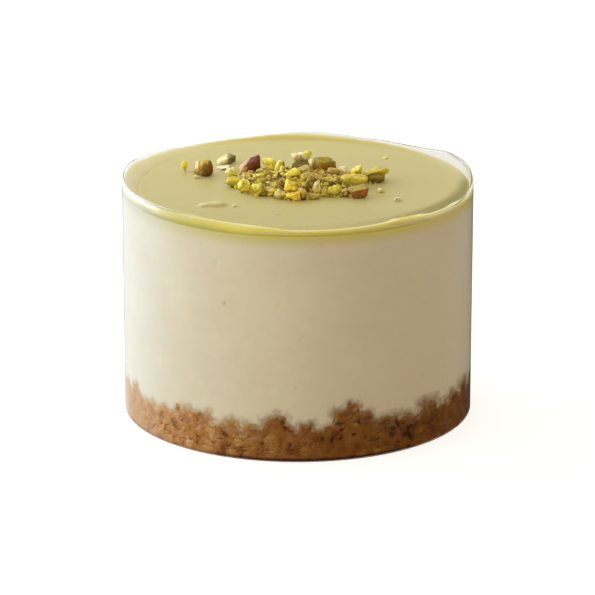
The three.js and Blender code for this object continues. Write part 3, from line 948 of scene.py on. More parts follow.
def cream_material(settings):
    """Smooth baked cream that lets light spread inside, with faint flecks.

    The cream is painted paler at the left, darker towards the right and paler again at the right edge,
    as light and shade. Its top turns greener towards the glaze, and the crumb stains it brown where it
    seeps between the lumps, a stain painted darker towards the right as shade. Less light spreads
    inside close to either, because it would be lost where two pieces meet.
    """
    material, wiring, output = new_material("Cheesecake Cream")
    place = object_place(wiring)
    apart = wiring.add("ShaderNodeSeparateXYZ", Vector=place)
    across, height = apart.outputs["X"], apart.outputs["Z"]
    seeping = attribute(wiring, "stain")
    cloud = mottled(wiring, place, 70.0, 420.0, 0.35)
    # Painted light and shade along X: paler at the left, darker towards the right, paler again at the right
    # edge
    lit = wiring.blend(
        wiring.band(across, -20 * MM, -33 * MM, 0.0, 0.8), tuple(settings.cream), srgb(234, 230, 215)
    )
    shaded = wiring.blend(wiring.band(across, -2 * MM, 24 * MM), lit, srgb(233, 223, 199))
    shaded = wiring.blend(wiring.band(across, 28 * MM, 36 * MM, 0.0, 0.6), shaded, srgb(238, 234, 218))
    cream = wiring.blend(wiring.band(cloud, 0.35, 0.65, 0.0, 0.4), shaded, srgb(230, 219, 193))
    fleck_place = wiring.add("ShaderNodeTexVoronoi", Vector=place, Scale=210.0)
    near = wiring.band(fleck_place.outputs["Distance"], 0.05, 0.14, 1.0, 0.0)
    chosen = wiring.add("ShaderNodeSeparateColor", Color=fleck_place.outputs["Color"])
    some = wiring.band(chosen.outputs[0], 0.86, 0.9)
    fleck = wiring.math("MULTIPLY", wiring.math("MULTIPLY", near, some), 0.5)
    flecked = wiring.blend(fleck, cream, srgb(196, 176, 120))
    tinge = wiring.math(
        "MULTIPLY",
        wiring.band(height, GLAZE_UNDERSIDE - 2.6 * MM, GLAZE_UNDERSIDE + 0.2 * MM, 0.0, 0.85),
        wiring.band(across, -34 * MM, -14 * MM, 0.7, 1.0),
    )
    green = wiring.blend(wiring.band(across, -34 * MM, -14 * MM), srgb(216, 211, 174), srgb(228, 214, 124))
    tinted = wiring.blend(tinge, flecked, green)
    stained = wiring.math(
        "MULTIPLY",
        seeping,
        wiring.band(wiring.mottle(place, 380.0, 3.0), 0.3, 0.65, 0.5, 0.9),
        clamp=True,
    )
    # The crumb's stain, painted darker towards the right as shade, browner between the lumps
    stain = wiring.blend(wiring.band(across, -28 * MM, 14 * MM), srgb(200, 164, 116), srgb(134, 98, 56))
    crumbly = wiring.blend(wiring.band(across, -28 * MM, 14 * MM), srgb(186, 132, 78), srgb(124, 84, 42))
    between_lumps = wiring.band(seeping, 1.2, 4.0, 0.0, 0.75)
    stain = wiring.blend(between_lumps, stain, crumbly)
    coloured = wiring.blend(stained, tinted, stain)
    by_glaze = wiring.band(height, GLAZE_UNDERSIDE - 1.4 * MM, GLAZE_UNDERSIDE - 0.2 * MM, 1.0, 0.1)
    by_crumb = wiring.band(seeping, 0.1, 0.9, 1.0, 0.05)
    shader = wiring.add(
        "ShaderNodeBsdfPrincipled",
        Base_Color=coloured,
        Roughness=wiring.band(cloud, 0.3, 0.7, 0.42, 0.55),
        Specular_IOR_Level=0.3,
        Subsurface_Weight=wiring.math("MULTIPLY", by_glaze, by_crumb),
        Subsurface_Radius=(1.0, 0.75, 0.45),
        Subsurface_Scale=settings.softness,
        Normal=wiring.bump(wiring.mottle(place, 900.0, 3.0), 0.05 * MM, 0.3),
    )
    wiring.feed(output.inputs["Surface"], shader.outputs[0])
    return material


class CHEESECAKE_OT_filling(bpy.types.Operator):
    """Make the cheesecake filling"""

    bl_idname = "cheesecake.filling"
    bl_label = "Cheesecake Filling"

    def execute(self, context):
        settings = context.scene.cheesecake.filling
        radius, height, stain = filling_side(context.scene.cheesecake.crumb.grain)
        flat = np.ones((1, FILLING_COLUMNS))
        under = [flat * r for r in (2.0 * MM, 20.0 * MM, 31.0 * MM)]
        over = [flat * r for r in (30.0 * MM, 15.0 * MM, 2.0 * MM)]
        radii = np.concatenate(under + [radius] + over)
        low = [flat * (CRUMB_LEVEL + 0.2 * MM) for _ in under]
        high = [flat * GLAZE_UNDERSIDE for _ in over]
        heights = np.concatenate(low + [height] + high)
        stains = np.concatenate([flat * 0.0] * len(under) + [stain] + [flat * 0.0] * len(over))
        filling = round_body("cheesecake_layer", radii, heights, {"stain": stains}, corners=0.9)
        wear(filling, cream_material(settings))
        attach(filling, BODY)
        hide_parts("cheesecake_filling")
        return {"FINISHED"}


# The pistachio glaze

GLAZE_COLUMNS = 480

# The rings of the glaze's top: how many make the field, how many the closer zone at the wall and how
# wide that zone is. The last value is the height of the top's soft ripples
FIELD_RINGS = 64
ZONE_RINGS = 31
WALL_ZONE = 5.0 * MM
GLAZE_RIPPLE = 0.008 * MM

# Bumps where the glaze covers a bit of nut: place, half length, half width and height in
# millimetres, turn in degrees and how pale it is painted, as a painted highlight
COVERED_BUMPS = (
    (-16.6, -14.2, 2.3, 1.6, 0.6, 3, 0.3),
    (-19.1, -14.9, 1.1, 0.8, 0.45, 12, 1),
    (-12.8, -15.4, 0.6, 0.6, 0.45, 60, 1),
    (-4.1, -20.5, 0.5, 0.35, 0.2, 10, 0.6),
    (21, -22, 0.6, 0.4, 0.2, 20, 0.6),
    (14.6, -12.5, 1.2, 0.5, 0.12, -8, 0.2),
)

# How far the film leans inwards for each length that it rises, the millimetres over which the lean
# dies away, the rows of its face at the wall, and the distances from the wall in millimetres at which
# its inner face is drawn
FILM_LEAN = 0.8
LEAN_REACH = 1.5
FILM_ROWS = 14
FILM_STEPS = (0.06, 0.13, 0.2, 0.28, 0.38, 0.5, 0.65, 0.85, 1.1, 1.4, 1.8, 2.3, 2.9, 3.5)

# How far below the glaze the film's foot lies, and how far below the rim it has to end
FILM_FOOT = 0.3 * MM
BELOW_RIM = 0.12 * MM


def glaze_rings():
    """Radii of the glaze's rings from the middle to the wall, closer together at the wall."""
    field = np.linspace(0.5 * MM, WALL_RADIUS - WALL_ZONE, FIELD_RINGS)
    edge = WALL_RADIUS - WALL_ZONE * (1 - np.linspace(0.0, 1.0, ZONE_RINGS)[1:]) ** 1.4
    return np.concatenate([field, edge])


def bump_share(x, y, bump):
    """How much of a covered bump's height a place has."""
    at_x, at_y, half_length, half_width, _, turn, _ = bump
    cos, sin = math.cos(math.radians(turn)), math.sin(math.radians(turn))
    across, along = (x / MM - at_x), (y / MM - at_y)
    long_way = (across * cos + along * sin) / half_length
    short_way = (along * cos - across * sin) / half_width
    bluntness = np.where(long_way > 0, 4.0, 1.7)
    distance = (np.abs(long_way) ** bluntness + np.abs(short_way) ** bluntness) ** (1 / bluntness)
    return 1 - smooth_step(distance, 0.55, 1.05)


def film_share(angles):
    """Where the glaze has left a film on the wall up to the rim: everywhere but at the back right."""
    return between(angles, 126, 164, 444, 462)


def painted_shade_crescent(radius, angles):
    """Where the glaze is painted darker as shade: a crescent along the wall at the front right."""
    x, y = radius * np.cos(angles) / MM, radius * np.sin(angles) / MM
    along = between(angles, -16, 72, 92, 110)
    return (0.05 + 0.8 * along**2) * (along > 0) * smooth_step(np.hypot(x + 1, y - 6), 33.3, 35.9)


def behind_left(angles):
    """1 at the left and the back left, where the film is thick and reaches the rim."""
    return between(angles, 165, 200, 282, 300)


def film_height(inward, angle, settings):
    """How far the film on the wall stands above the glaze at a distance inwards from the wall."""
    lowered = 0.3 * (0.5 - 0.5 * np.sin(angle)) + 0.38 * between(angle, -12, 0, 8, 50)
    raised = 0.2 * between(angle, 22, 56, 60, 80) - 0.05 * between(angle, 60, 72, 96, 112)
    film = settings.film + (raised - lowered) * MM + 0.8 * rim_rise(angle)
    thick = behind_left(angle)
    film = film * film_share(angle) + 0.75 * MM * thick
    reach = settings.climb_reach * (0.25 + 0.6 * thick)
    return film * np.exp(-inward / reach) * (1 - smooth_step(inward, 1.4 * MM, 3.5 * MM))


def glaze_height(radius, angle, settings):
    """Height of the glaze's upper surface."""
    inward = WALL_RADIUS - radius
    x = radius * np.cos(angle)
    y = radius * np.sin(angle)
    climb = settings.climb * (1 - 0.8 * behind_left(angle) - 0.7 * between(angle, 36, 50, 98, 120))
    height = GLAZE_LEVEL + climb * np.exp(-inward / settings.climb_reach)
    height = height + GLAZE_RIPPLE * wave_noise(x * 260, y * 260, 0 * x, 3)
    for bump in COVERED_BUMPS:
        height = height + bump[4] * MM * bump_share(x, y, bump)
    return height


def glaze_traits(ring, heights, angles, side, deep=0.0, covered=0.0):
    """The values that colour the glaze, for each point of a surface.

    They say how far each point is on the side, in the crescent painted darker as shade at the front
    right, and over a covered bit of nut, how much painted reflection makes the glaze paler at the left,
    how near the wall the point lies where the left is painted lighter, and how thin the glaze is there,
    where its paler colour is partly a painted glow of light through the film.
    """
    even = np.ones_like(heights)
    # Painted light: the paler band of thin glaze reaches further down the side at the right and less far at
    # the front left, and is dimmed in two gaps
    shift = 0.05 * MM + 0.75 * MM * between(angles, 18, 54, 100, 132)
    shift = shift - 0.6 * MM * between(angles, -76, -60, -25, -8)
    highlight_gaps = 0.4 * between(angles, -56, -50, -43, -38) + 0.25 * between(angles, -24, -17, -13, -6)
    # Painted light: the glaze near the wall is painted lighter at the left, where light comes through the
    # clear wall
    near = smooth_step(ring, WALL_RADIUS - 3.8 * MM, WALL_RADIUS - 0.8 * MM)
    from_left = between(angles, 150, 215, 282, 318)
    return {
        "side": side * even,
        "deep": deep * even,
        "covered": covered * even,
        # Painted reflection makes the glaze paler at the left; the thin share is partly a painted glow
        # through the film
        "pale": between(angles, -168, -125, -66, -38) * even,
        "near": near * from_left * even,
        "thin": smooth_step(heights - GLAZE_LEVEL + shift * side, 0.0, 1.1 * MM) * (1 - highlight_gaps) * even,
    }


def glaze_material(settings, name, side_softness):
    """Satin set glaze: an even soft green with painted light, shade and reflection, paler where it is thin.

    The last value says how much light spreads inside it at the wall.
    """
    material, wiring, output = new_material(name)
    place = object_place(wiring)
    apart = wiring.add("ShaderNodeSeparateXYZ", Vector=place)
    across, back = apart.outputs["X"], apart.outputs["Y"]
    cloud = mottled(wiring, place, 55.0, 650.0, 0.3)
    clouded = wiring.blend(
        wiring.band(cloud, 0.3, 0.7, 0.0, 0.3), tuple(settings.colour), srgb(202, 189, 118)
    )
    # Painted reflection: the glaze darker towards the front and paler towards the back
    front = wiring.blend(wiring.band(back, -12 * MM, -24 * MM, 0.0, 0.6), clouded, srgb(194, 183, 118))
    base = wiring.blend(wiring.band(back, 6 * MM, 32 * MM, 0.0, 0.6), front, srgb(208, 199, 126))
    # Painted light: paler near the wall at the left
    lit_near_wall = wiring.blend(attribute(wiring, "near"), base, srgb(246, 234, 166))
    # Painted shade: the darker crescent at the front right
    shaded_crescent = wiring.blend(attribute(wiring, "deep"), lit_near_wall, tuple(settings.deep))
    # Painted highlight: paler over the covered bits of nut
    raised = wiring.blend(
        wiring.band(attribute(wiring, "covered"), 0.1, 0.9, 0.0, 0.85), shaded_crescent, srgb(226, 223, 174)
    )
    pale = attribute(wiring, "pale")
    on_side = attribute(wiring, "side")
    # Painted shade: the side seen through the wall darker towards the left, and paler by painted reflection
    # at the left
    side_shaded_left = wiring.blend(
        wiring.band(across, -10 * MM, -20 * MM), tuple(settings.side), srgb(212, 201, 96)
    )
    side = wiring.blend(pale, side_shaded_left, srgb(222, 217, 180))
    sided = wiring.blend(on_side, raised, side)
    # Paler where thin, partly a painted glow of light through the film, brighter at the right and at the left
    thin_lit_right = wiring.blend(
        wiring.band(across, 18 * MM, 34 * MM), tuple(settings.thin), srgb(255, 242, 200)
    )
    thin = wiring.blend(pale, thin_lit_right, srgb(255, 250, 228))
    coloured = wiring.blend(attribute(wiring, "thin"), sided, thin)
    shader = wiring.add(
        "ShaderNodeBsdfPrincipled",
        Base_Color=coloured,
        Roughness=0.42,
        Specular_IOR_Level=0.3,
        Subsurface_Weight=wiring.band(on_side, 0.0, 1.0, 0.8, side_softness),
        Subsurface_Radius=(1.0, 0.9, 0.4),
        Subsurface_Scale=1.2 * MM,
    )
    wiring.feed(output.inputs["Surface"], shader.outputs[0])
    return material


def film_object(settings):
    """The thin film that the glaze has left on the wall: a ring that leans in with the rounded lip.

    It lets the lamps' light through, so that it casts no shade on the glaze.
    """
    angles = ring_angles(GLAZE_COLUMNS)[None, :]
    flat = np.ones((1, GLAZE_COLUMNS))
    peak = glaze_height(WALL_RADIUS * flat, angles, settings) + film_height(0.0, angles, settings)
    leaning = FILM_LEAN * between(angles, -64, -42, 60, 80)

    def leaned(height):
        """The radius of the film's face at the wall at a height."""
        return WALL_RADIUS + 0.01 * MM - leaning * np.clip(height - GLAZE_LEVEL - 0.1 * MM, 0.0, None)

    low = GLAZE_LEVEL - FILM_FOOT
    peak = np.minimum(peak, CUP_HEIGHT + rim_rise(angles) - BELOW_RIM)
    heights = [low + share * (peak - low) for share in np.linspace(0.0, 1.0, FILM_ROWS)]
    radii = [leaned(height) * flat for height in heights]
    rings = [flat * WALL_RADIUS for _ in heights]
    side = [flat for _ in heights]
    for inward in FILM_STEPS:
        ring = WALL_RADIUS - inward * MM
        radii.append(ring * flat - (WALL_RADIUS - leaned(peak)) * math.exp(-inward / LEAN_REACH))
        sunk = 0.05 * MM * smooth_step(inward, 0.5, FILM_STEPS[-1])
        inner = glaze_height(ring * flat, angles, settings) + film_height(inward * MM, angles, settings)
        heights.append(np.minimum(inner, peak) - sunk)
        rings.append(flat * ring)
        side.append(flat * (1 - smooth_step(inward, 0.0, 0.25)))
    radii.append(radii[-1])
    heights.append(heights[-1] * 0.0 + low)
    rings.append(rings[-1])
    side.append(flat * 0.0)
    radii, heights = np.concatenate(radii), np.concatenate(heights)
    rings, side = np.concatenate(rings), np.concatenate(side)
    traits = glaze_traits(rings, heights, angles, side, painted_shade_crescent(rings, angles))
    # The painted glow of the thin film is dimmed a little at its very top
    at_top = smooth_step(heights, peak - 0.35 * MM, peak - 0.05 * MM)
    traits["thin"] *= 1 - at_top * 0.1
    film = ring_body("glaze_film", radii, heights, traits)
    film.visible_shadow = False
    return film


class CHEESECAKE_OT_glaze(bpy.types.Operator):
    """Make the pistachio glaze"""

    bl_idname = "cheesecake.glaze"
    bl_label = "Pistachio Glaze"

    def execute(self, context):
        settings = context.scene.cheesecake.glaze
        angles = ring_angles(GLAZE_COLUMNS)[None, :]
        flat = np.ones((1, GLAZE_COLUMNS))
        top_radius = glaze_rings()[::-1, None] * flat
        top = glaze_height(top_radius, angles, settings)
        radii = [flat * r for r in (2.0 * MM, 20.0 * MM, WALL_RADIUS)]
        low = underside(angles)
        heights = [flat * GLAZE_UNDERSIDE, flat * GLAZE_UNDERSIDE, low]
        for share in np.linspace(0.0, 1.0, 8)[1:-1]:
            radii.append(flat * WALL_RADIUS)
            heights.append(low + share * (top[:1] - low))
        x, y = top_radius * np.cos(angles), top_radius * np.sin(angles)
        covered = np.maximum.reduce([bump[6] * bump_share(x, y, bump) for bump in COVERED_BUMPS])
        traits = glaze_traits(
            top_radius,
            top,
            angles,
            1 - smooth_step(WALL_RADIUS - top_radius, 0.0, 0.25 * MM),
            painted_shade_crescent(top_radius, angles),
            covered,
        )
        wall_traits = glaze_traits(WALL_RADIUS, np.concatenate(heights), angles, 1.0)
        attributes = {key: np.concatenate([wall_traits[key], traits[key]]) for key in traits}
        radii = np.concatenate(radii + [top_radius])
        heights = np.concatenate(heights + [top])
        glaze = round_body("glaze_layer", radii, heights, attributes, corners=0.9)
        film = film_object(settings)
        wear(glaze, glaze_material(settings, "Pistachio Glaze", 0.1))
        wear(film, glaze_material(settings, "Glaze Film", 0.85))
        for piece in (glaze, film):
            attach(piece, BODY)
            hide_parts("pistachio_glaze")
        return {"FINISHED"}


# The chopped pistachios

# Colours of the bits on screen
NUT_COLOURS = {
    "leaf": srgb(232, 216, 66),
    "moss": srgb(180, 158, 56),
    "lime": srgb(248, 238, 104),
    "gold": srgb(255, 230, 62),
    "amber": srgb(255, 222, 84),
    "tan": srgb(216, 190, 100),
    "rose": srgb(240, 212, 156),
    "pale": srgb(242, 234, 158),
    "milk": srgb(252, 240, 202),
    "honey": srgb(200, 166, 48),
    "straw": srgb(178, 150, 60),
    "bark": srgb(140, 92, 26),
    "walnut": srgb(124, 86, 8),
    "umber": srgb(156, 116, 14),
    "brass": srgb(166, 144, 24),
    "fern": srgb(214, 194, 58),
    "olive": srgb(120, 104, 36),
    "plum": srgb(124, 62, 32),
    "clay": srgb(250, 204, 142),
    "rust": srgb(152, 98, 20),
}

# Which way the second colour of a bit faces. Some second colours are the nut's own, such as its
# skin, while the darker low or right sides and paler tops of many bits are painted shade and highlight
SIDES = {
    "left": (-1, 0, 0),
    "right": (1, 0, 0),
    "low": (0, -0.45, -0.85),
    "right_low": (0.75, -0.4, -0.5),
    "right_front": (0.55, -0.75, -0.3),
    "left_low": (-0.75, -0.4, -0.5),
    "top": (0, 0, 1),
    "left_top": (-0.8, -0.1, 0.6),
    "right_top": (0.55, -0.1, 0.8),
    "flat_top": (0, 0, 1),
}

# The bits that show: place on the glaze and lift above it, size as width, depth and height, turn
# about the upright, tilt to one side, height of the left end as a share of the right one, and the
# two colours with the side of the second one
HEAP_BITS = (
    (-11, -5.2, 0, 2.3, 2.2, 2.5, 20, 10, 1, "lime", "leaf", "low"),
    (-8, -7.4, 0, 3, 2.2, 2, -10, -8, 1, "leaf", "moss", "right"),
    (-5.5, -7.4, 0, 2.5, 2.2, 2, 35, 0, 0.6, "tan", "leaf", "right_low"),
    (-3.6, -9.5, 0, 2.6, 2.2, 1.9, 10, 6, 1, "pale", "tan", "low"),
    (-1.4, -8.9, 0.9, 2.5, 2.3, 2.2, 0, 12, 1, "gold", "amber", "low"),
    (-1, -11, 0, 3.1, 2.2, 1.7, -14, 0, 0.7, "amber", "gold", "left_top"),
    (1, -10.2, 0, 1.6, 1.8, 2.1, 25, 0, 1, "tan", "moss", "low"),
    (2, -6.4, 0.2, 1.8, 2.4, 2.9, 8, -6, 1, "moss", "bark", "right_low"),
    (3.6, -7.2, 0, 2, 2, 2.4, 30, 0, 1, "pale", "leaf", "low"),
    (3.2, -9.8, 0, 3, 1.6, 0.9, -6, 0, 1, "tan", "moss", "left"),
    (5.4, -7.7, 0, 1.5, 1.5, 1.3, 15, 0, 1, "leaf", "tan", "top"),
    (7.4, -7.9, 0, 2.7, 2.2, 2.1, -18, 8, 1, "leaf", "moss", "low"),
    (9.7, -7.9, 0, 1.8, 1.6, 1.3, 40, 0, 1, "moss", "tan", "top"),
    (12.3, -8.4, 0, 3.9, 3, 2, 10, -6, 0.85, "rust", "straw", "flat_top"),
    (11.4, -1.3, 0, 6, 3, 2.8, -8, 10, 0.5, "fern", "moss", "low"),
    (16, 3.4, 0.9, 5.3, 2.6, 1.5, 8, -10, 0.5, "fern", "moss", "low"),
    (16.2, 2.9, 0, 4.5, 2.5, 2, 14, 0, 0.55, "moss", "olive", "low"),
    (12, 7.6, 0, 2.9, 2.4, 2.2, -30, 0, 0.6, "lime", "leaf", "low"),
    (9.3, 3.2, 0.9, 1.9, 1.8, 2.2, 12, 0, 1, "rose", "milk", "right_top"),
    (7.4, 2.8, 0.8, 2.6, 2.2, 2.1, -5, 0, 1, "tan", "moss", "low"),
    (5.8, 6.4, 0, 4.3, 4.2, 3.8, 22, 0, 1, "umber", "brass", "flat_top"),
    (6.7, 3.7, 0, 2.2, 2, 2.2, 20, 0, 1, "moss", "bark", "low"),
    (0.4, 8, 0.4, 4, 3.3, 2.2, 2, 0, 1, "moss", "olive", "flat_top"),
    (0.1, 9.9, 2.1, 2.7, 2.2, 2.1, 18, 14, 0.6, "rose", "milk", "right_top"),
    (2, 9.6, 2.5, 1.8, 1.6, 2.5, 0, 24, 0.6, "pale", "lime", "top"),
    (2.9, 7.9, 0.6, 1.5, 2.2, 2.6, 12, 0, 1, "tan", "pale", "top"),
    (0.8, 2.5, 0.6, 2.6, 3, 2.8, 24, 16, 0.7, "tan", "leaf", "left"),
    (1.2, -1.5, 0.8, 2.4, 2.6, 2.4, -20, 0, 0.7, "tan", "leaf", "left"),
    (-1.6, -1.3, 0.8, 3.8, 3, 2.8, 8, -8, 0.6, "leaf", "bark", "low"),
    (4.2, -3.2, 0.6, 4.3, 2.2, 2.1, -14, 20, 0.7, "moss", "bark", "low"),
    (6.2, -1.5, 0.4, 1.9, 1.8, 1.7, 0, 0, 1, "tan", "leaf", "top"),
    (7.8, -1.9, 0.4, 2.2, 2, 1.9, 30, 0, 1, "moss", "tan", "top"),
    (-10.1, 9.4, 0, 4.9, 2.6, 4.2, 6, -4, 0.35, "plum", "clay", "left"),
    (-6, 8.7, 0.9, 2.9, 2.2, 2.2, -12, 0, 1, "lime", "leaf", "low"),
    (-3.8, 5.1, 0.4, 1.7, 2.2, 3.6, 4, 26, 1, "leaf", "moss", "right_low"),
    (-3.2, 2.1, 0.6, 1.6, 2.2, 2.6, -8, 10, 1, "tan", "leaf", "left"),
    (-8, 0.9, 0.2, 2.6, 2.4, 2.1, 22, 0, 0.7, "moss", "leaf", "top"),
    (-5.8, 1.1, 0.4, 2.6, 2.4, 2.2, -16, 0, 1, "moss", "bark", "low"),
    (-10.2, 5.1, 0, 2.8, 2, 1.2, 10, 0, 1, "tan", "rose", "low"),
    (-13.4, -0.8, 0, 3.1, 2.5, 2.1, -10, 12, 0.8, "leaf", "moss", "low"),
)
LOOSE_BITS = (
    (-19.5, 8.1, 0, 4.15, 3.8, 3.5, 12, -4, 0.95, "honey", "walnut", "right_front"),
    (-20.5, 8.3, 0.2, 1.4, 2.6, 2.8, 0, -8, 1, "rose", "honey", "right"),
    (-20.9, 5.6, 0, 1.4, 0.9, 0.8, 0, 0, 1, "pale", "rose", "top"),
    (-23.6, 11, 0, 1.45, 1.5, 2.3, 0, 8, 1, "gold", "lime", "left_low"),
    (-15.3, 17.4, 0, 4.3, 2.8, 1.5, 24, -8, 0.5, "pale", "olive", "right"),
    (-15.2, 13.2, 0, 3.3, 3.4, 0.6, 12, 0, 1, "rose", "milk", "top"),
    (-13.8, 6.6, 0, 2.6, 2.1, 2.1, 10, 0, 1, "pale", "lime", "low"),
    (17, -4.7, 0, 1.5, 1.3, 0.9, 20, 0, 1, "lime", "pale", "top"),
    (20.2, -10.9, 0, 1.5, 1.3, 1, -10, 0, 0.8, "pale", "milk", "top"),
    (18.4, 20.8, 0, 1.2, 1.3, 0.4, 0, 0, 1, "lime", "pale", "low"),
)

# How deep the bits sink into the glaze, and the level that the bits of the heap are lifted from
NUT_SINK = 0.12 * MM
HEAP_GROUND = GLAZE_LEVEL + 0.3 * MM

# How many flat cuts a bit has, how finely it is drawn, and the width in millimetres from which its
# cuts are clean
BIT_PLANES = 15
BIT_FINENESS = 4
CRISP_WIDTH = 4.15

# Which piece a bit belongs to, by its main colour
NUT_PIECES = {
    "green_pistachio_bits": ("leaf", "lime", "fern"),
    "olive_pistachio_bits": ("moss", "olive", "straw"),
    "yellow_pistachio_bits": ("gold", "amber"),
    "pale_pistachio_bits": ("tan", "rose", "pale", "milk"),
    "skinned_pistachio_bits": ("bark", "umber", "honey", "walnut", "brass", "plum", "clay", "rust"),
}


def unit_ball(subdivisions):
    """Points and faces of an even ball of radius 1."""
    ball = bmesh.new()
    bmesh.ops.create_icosphere(ball, subdivisions=subdivisions, radius=1.0)
    points = np.array([v.co[:] for v in ball.verts])
    faces = np.array([[v.index for v in f.verts] for f in ball.faces])
    ball.free()
    return points, faces


def chopped_shape(directions, draws, crisp=False):
    """A chopped bit inside a unit block: flat cuts with worn edges, cleaner where it is crisp.

    Gives its points, how far each stands out of the flat cuts, as a share, and which way the cut
    there faces.
    """
    normals = [(1, 0, 0), (-1, 0, 0), (0, 1, 0), (0, -1, 0), (0, 0, 1), (0, 0, -1)]
    normals = np.array(normals) + draws.normal(0, 0.13 if crisp else 0.3, (6, 3))
    extra = draws.normal(0, 1, (BIT_PLANES - 6, 3))
    normals = np.concatenate([normals, extra])
    normals /= np.linalg.norm(normals, axis=1)[:, None]
    cuts = draws.uniform(0.74, 0.86, 6) if crisp else draws.uniform(0.68, 0.92, 6)
    reach = np.concatenate([cuts, draws.uniform(0.8, 1.1, BIT_PLANES - 6) + 0.25 * crisp])
    facing = np.clip(directions @ normals.T, 0, None) / reach
    keenness = 22 if crisp else 15
    radius = (facing**keenness).sum(axis=1) ** (-1 / keenness)
    faced = (facing ** (keenness - 1) / reach) @ normals
    faced /= np.linalg.norm(faced, axis=1)[:, None]
    offset = draws.uniform(0, 40, 3)
    rough = np.zeros(len(directions))
    for pitch, depth in ((1.7, 0.08 if crisp else 0.18), (4.0, 0.09 if crisp else 0.11), (9.0, 0.06)):
        rough += depth * np.array([noise.noise(Vector(d) * pitch + Vector(offset)) for d in directions])
    return directions * (radius * (1 + rough))[:, None], rough, faced


def nut_bit(bit, ground, ball, draws):
    """One bit in place, with the colour of each point and its painted shade and highlights."""
    x, y, lift, width, depth, height, turn, tilt, left_end, first, second, side = bit
    flat_topped = side == "flat_top"
    points, rough, faced = chopped_shape(ball, draws, crisp=flat_topped or width > CRISP_WIDTH)
    middle = (points.max(axis=0) + points.min(axis=0)) / 2
    span = points.max(axis=0) - points.min(axis=0)
    points = (points - middle) / span
    points[:, 2] = (points[:, 2] + 0.5) * (left_end + (1 - left_end) * (points[:, 0] + 0.5)) - 0.5
    points = points * np.array([width, depth, height]) * MM
    spin = Euler((0, math.radians(tilt), math.radians(turn)), "XYZ").to_matrix()
    points = points @ np.array(spin).T
    low, high = points[:, 2].min(), points[:, 2].max()
    top = ground + lift * MM + (high - low)
    base = ground + lift * MM if lift else GLAZE_LEVEL - NUT_SINK
    points[:, 2] = base + (points[:, 2] - low) / (high - low) * (top - base)
    points[:, 0] += x * MM
    points[:, 1] += y * MM
    outward = (points - points.mean(axis=0)) / (np.array([width, depth, height]) * MM / 2)
    way = np.array(SIDES[side], dtype=float)
    facing = outward @ (way / np.linalg.norm(way)) + 3.0 * rough
    if flat_topped:
        facing = 2.0 * (faced @ np.array(spin).T)[:, 2] - 1.2 + 1.5 * rough
    share = smooth_step(facing, 0.0, 0.5)[:, None]
    colours = np.array(NUT_COLOURS[first]) * (1 - share) + np.array(NUT_COLOURS[second]) * share
    # Painted shade and highlight: each bit darker towards its foot and in its hollows and paler on its
    # ridges, at a random brightness for each bit
    rise = (points[:, 2] - base) / (top - base)
    shade = 0.7 + 0.3 * smooth_step(rise, 0.0, 0.75)
    lit = np.clip((draws.uniform(1.06, 1.24) + 4.0 * rough) * shade, 0.3, 1.28)[:, None]
    colours = colours * lit ** np.array([1.0, 1.12, 1.5])
    return points, np.concatenate([colours, np.ones((len(points), 1))], axis=1)


def nut_material(name, skin_share):
    """Chopped nut: its own colour broken up by grain painted paler and darker as highlight and shade, and
    skin.
    """
    material, wiring, output = new_material(name)
    place = object_place(wiring)
    flesh = attribute(wiring, "flesh", "Color")
    grain = mottled(wiring, place, 900.0, 3600.0, 0.45)
    # Painted shade and highlight: the grain darkens some flecks and pales others
    deep = wiring.blend(wiring.band(grain, 0.32, 0.5, 0.6, 0.0), flesh, srgb(160, 124, 50), "MULTIPLY")
    lit = wiring.blend(wiring.band(grain, 0.55, 0.75, 0.0, 0.18), deep, srgb(246, 232, 140))
    patches = wiring.band(wiring.mottle(place, 420.0, 2.0), 0.56, 0.64, 0.0, skin_share)
    coloured = wiring.blend(patches, lit, srgb(112, 70, 36))
    shader = wiring.add(
        "ShaderNodeBsdfPrincipled",
        Base_Color=coloured,
        Roughness=wiring.band(grain, 0.3, 0.7, 0.45, 0.75),
        Subsurface_Weight=0.15,
        Subsurface_Radius=(1.0, 0.8, 0.3),
        Subsurface_Scale=0.6 * MM,
        Normal=wiring.bump(wiring.mottle(place, 2600.0, 4.0, 0.6), 0.2 * MM, 0.5),
    )
    wiring.feed(output.inputs["Surface"], shader.outputs[0])
    return material


def shaped_bits(seed):
    """Every bit of the heap and every loose bit, shaped and in place: its row, points and colours."""
    ball, _ = unit_ball(BIT_FINENESS)
    draws = np.random.default_rng(seed)
    shaped = []
    for bit in HEAP_BITS:
        shaped.append((bit, *nut_bit(bit, HEAP_GROUND, ball, draws)))
    for bit in LOOSE_BITS:
        shaped.append((bit, *nut_bit(bit, GLAZE_LEVEL - NUT_SINK, ball, draws)))
    return shaped


class CHEESECAKE_OT_bits(bpy.types.Operator):
    """Make the larger bits of chopped pistachio, one piece for each colour"""

    bl_idname = "cheesecake.bits"
    bl_label = "Pistachio Bits"

    def execute(self, context):
        _, ball_faces = unit_ball(BIT_FINENESS)
        gathered = {name: ([], [], []) for name in NUT_PIECES}
        for bit, points, colours in shaped_bits(context.scene.cheesecake.nuts.seed):
            name = next(n for n, kinds in NUT_PIECES.items() if bit[9] in kinds)
            all_points, all_faces, all_colours = gathered[name]
            all_faces.append(ball_faces + sum(len(p) for p in all_points))
            all_points.append(points)
            all_colours.append(colours)
        for name, (points, faces, colours) in gathered.items():
            piece = mesh_object(
                name, np.concatenate(points), np.concatenate(faces), {"flesh": np.concatenate(colours)}
            )
            wear(piece, nut_material(f"Nut {name.split('_')[0].title()}", 0.12))
            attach(piece, BODY)
            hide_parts("pistachio_heap")
        return {"FINISHED"}


# The crumbs between the larger bits

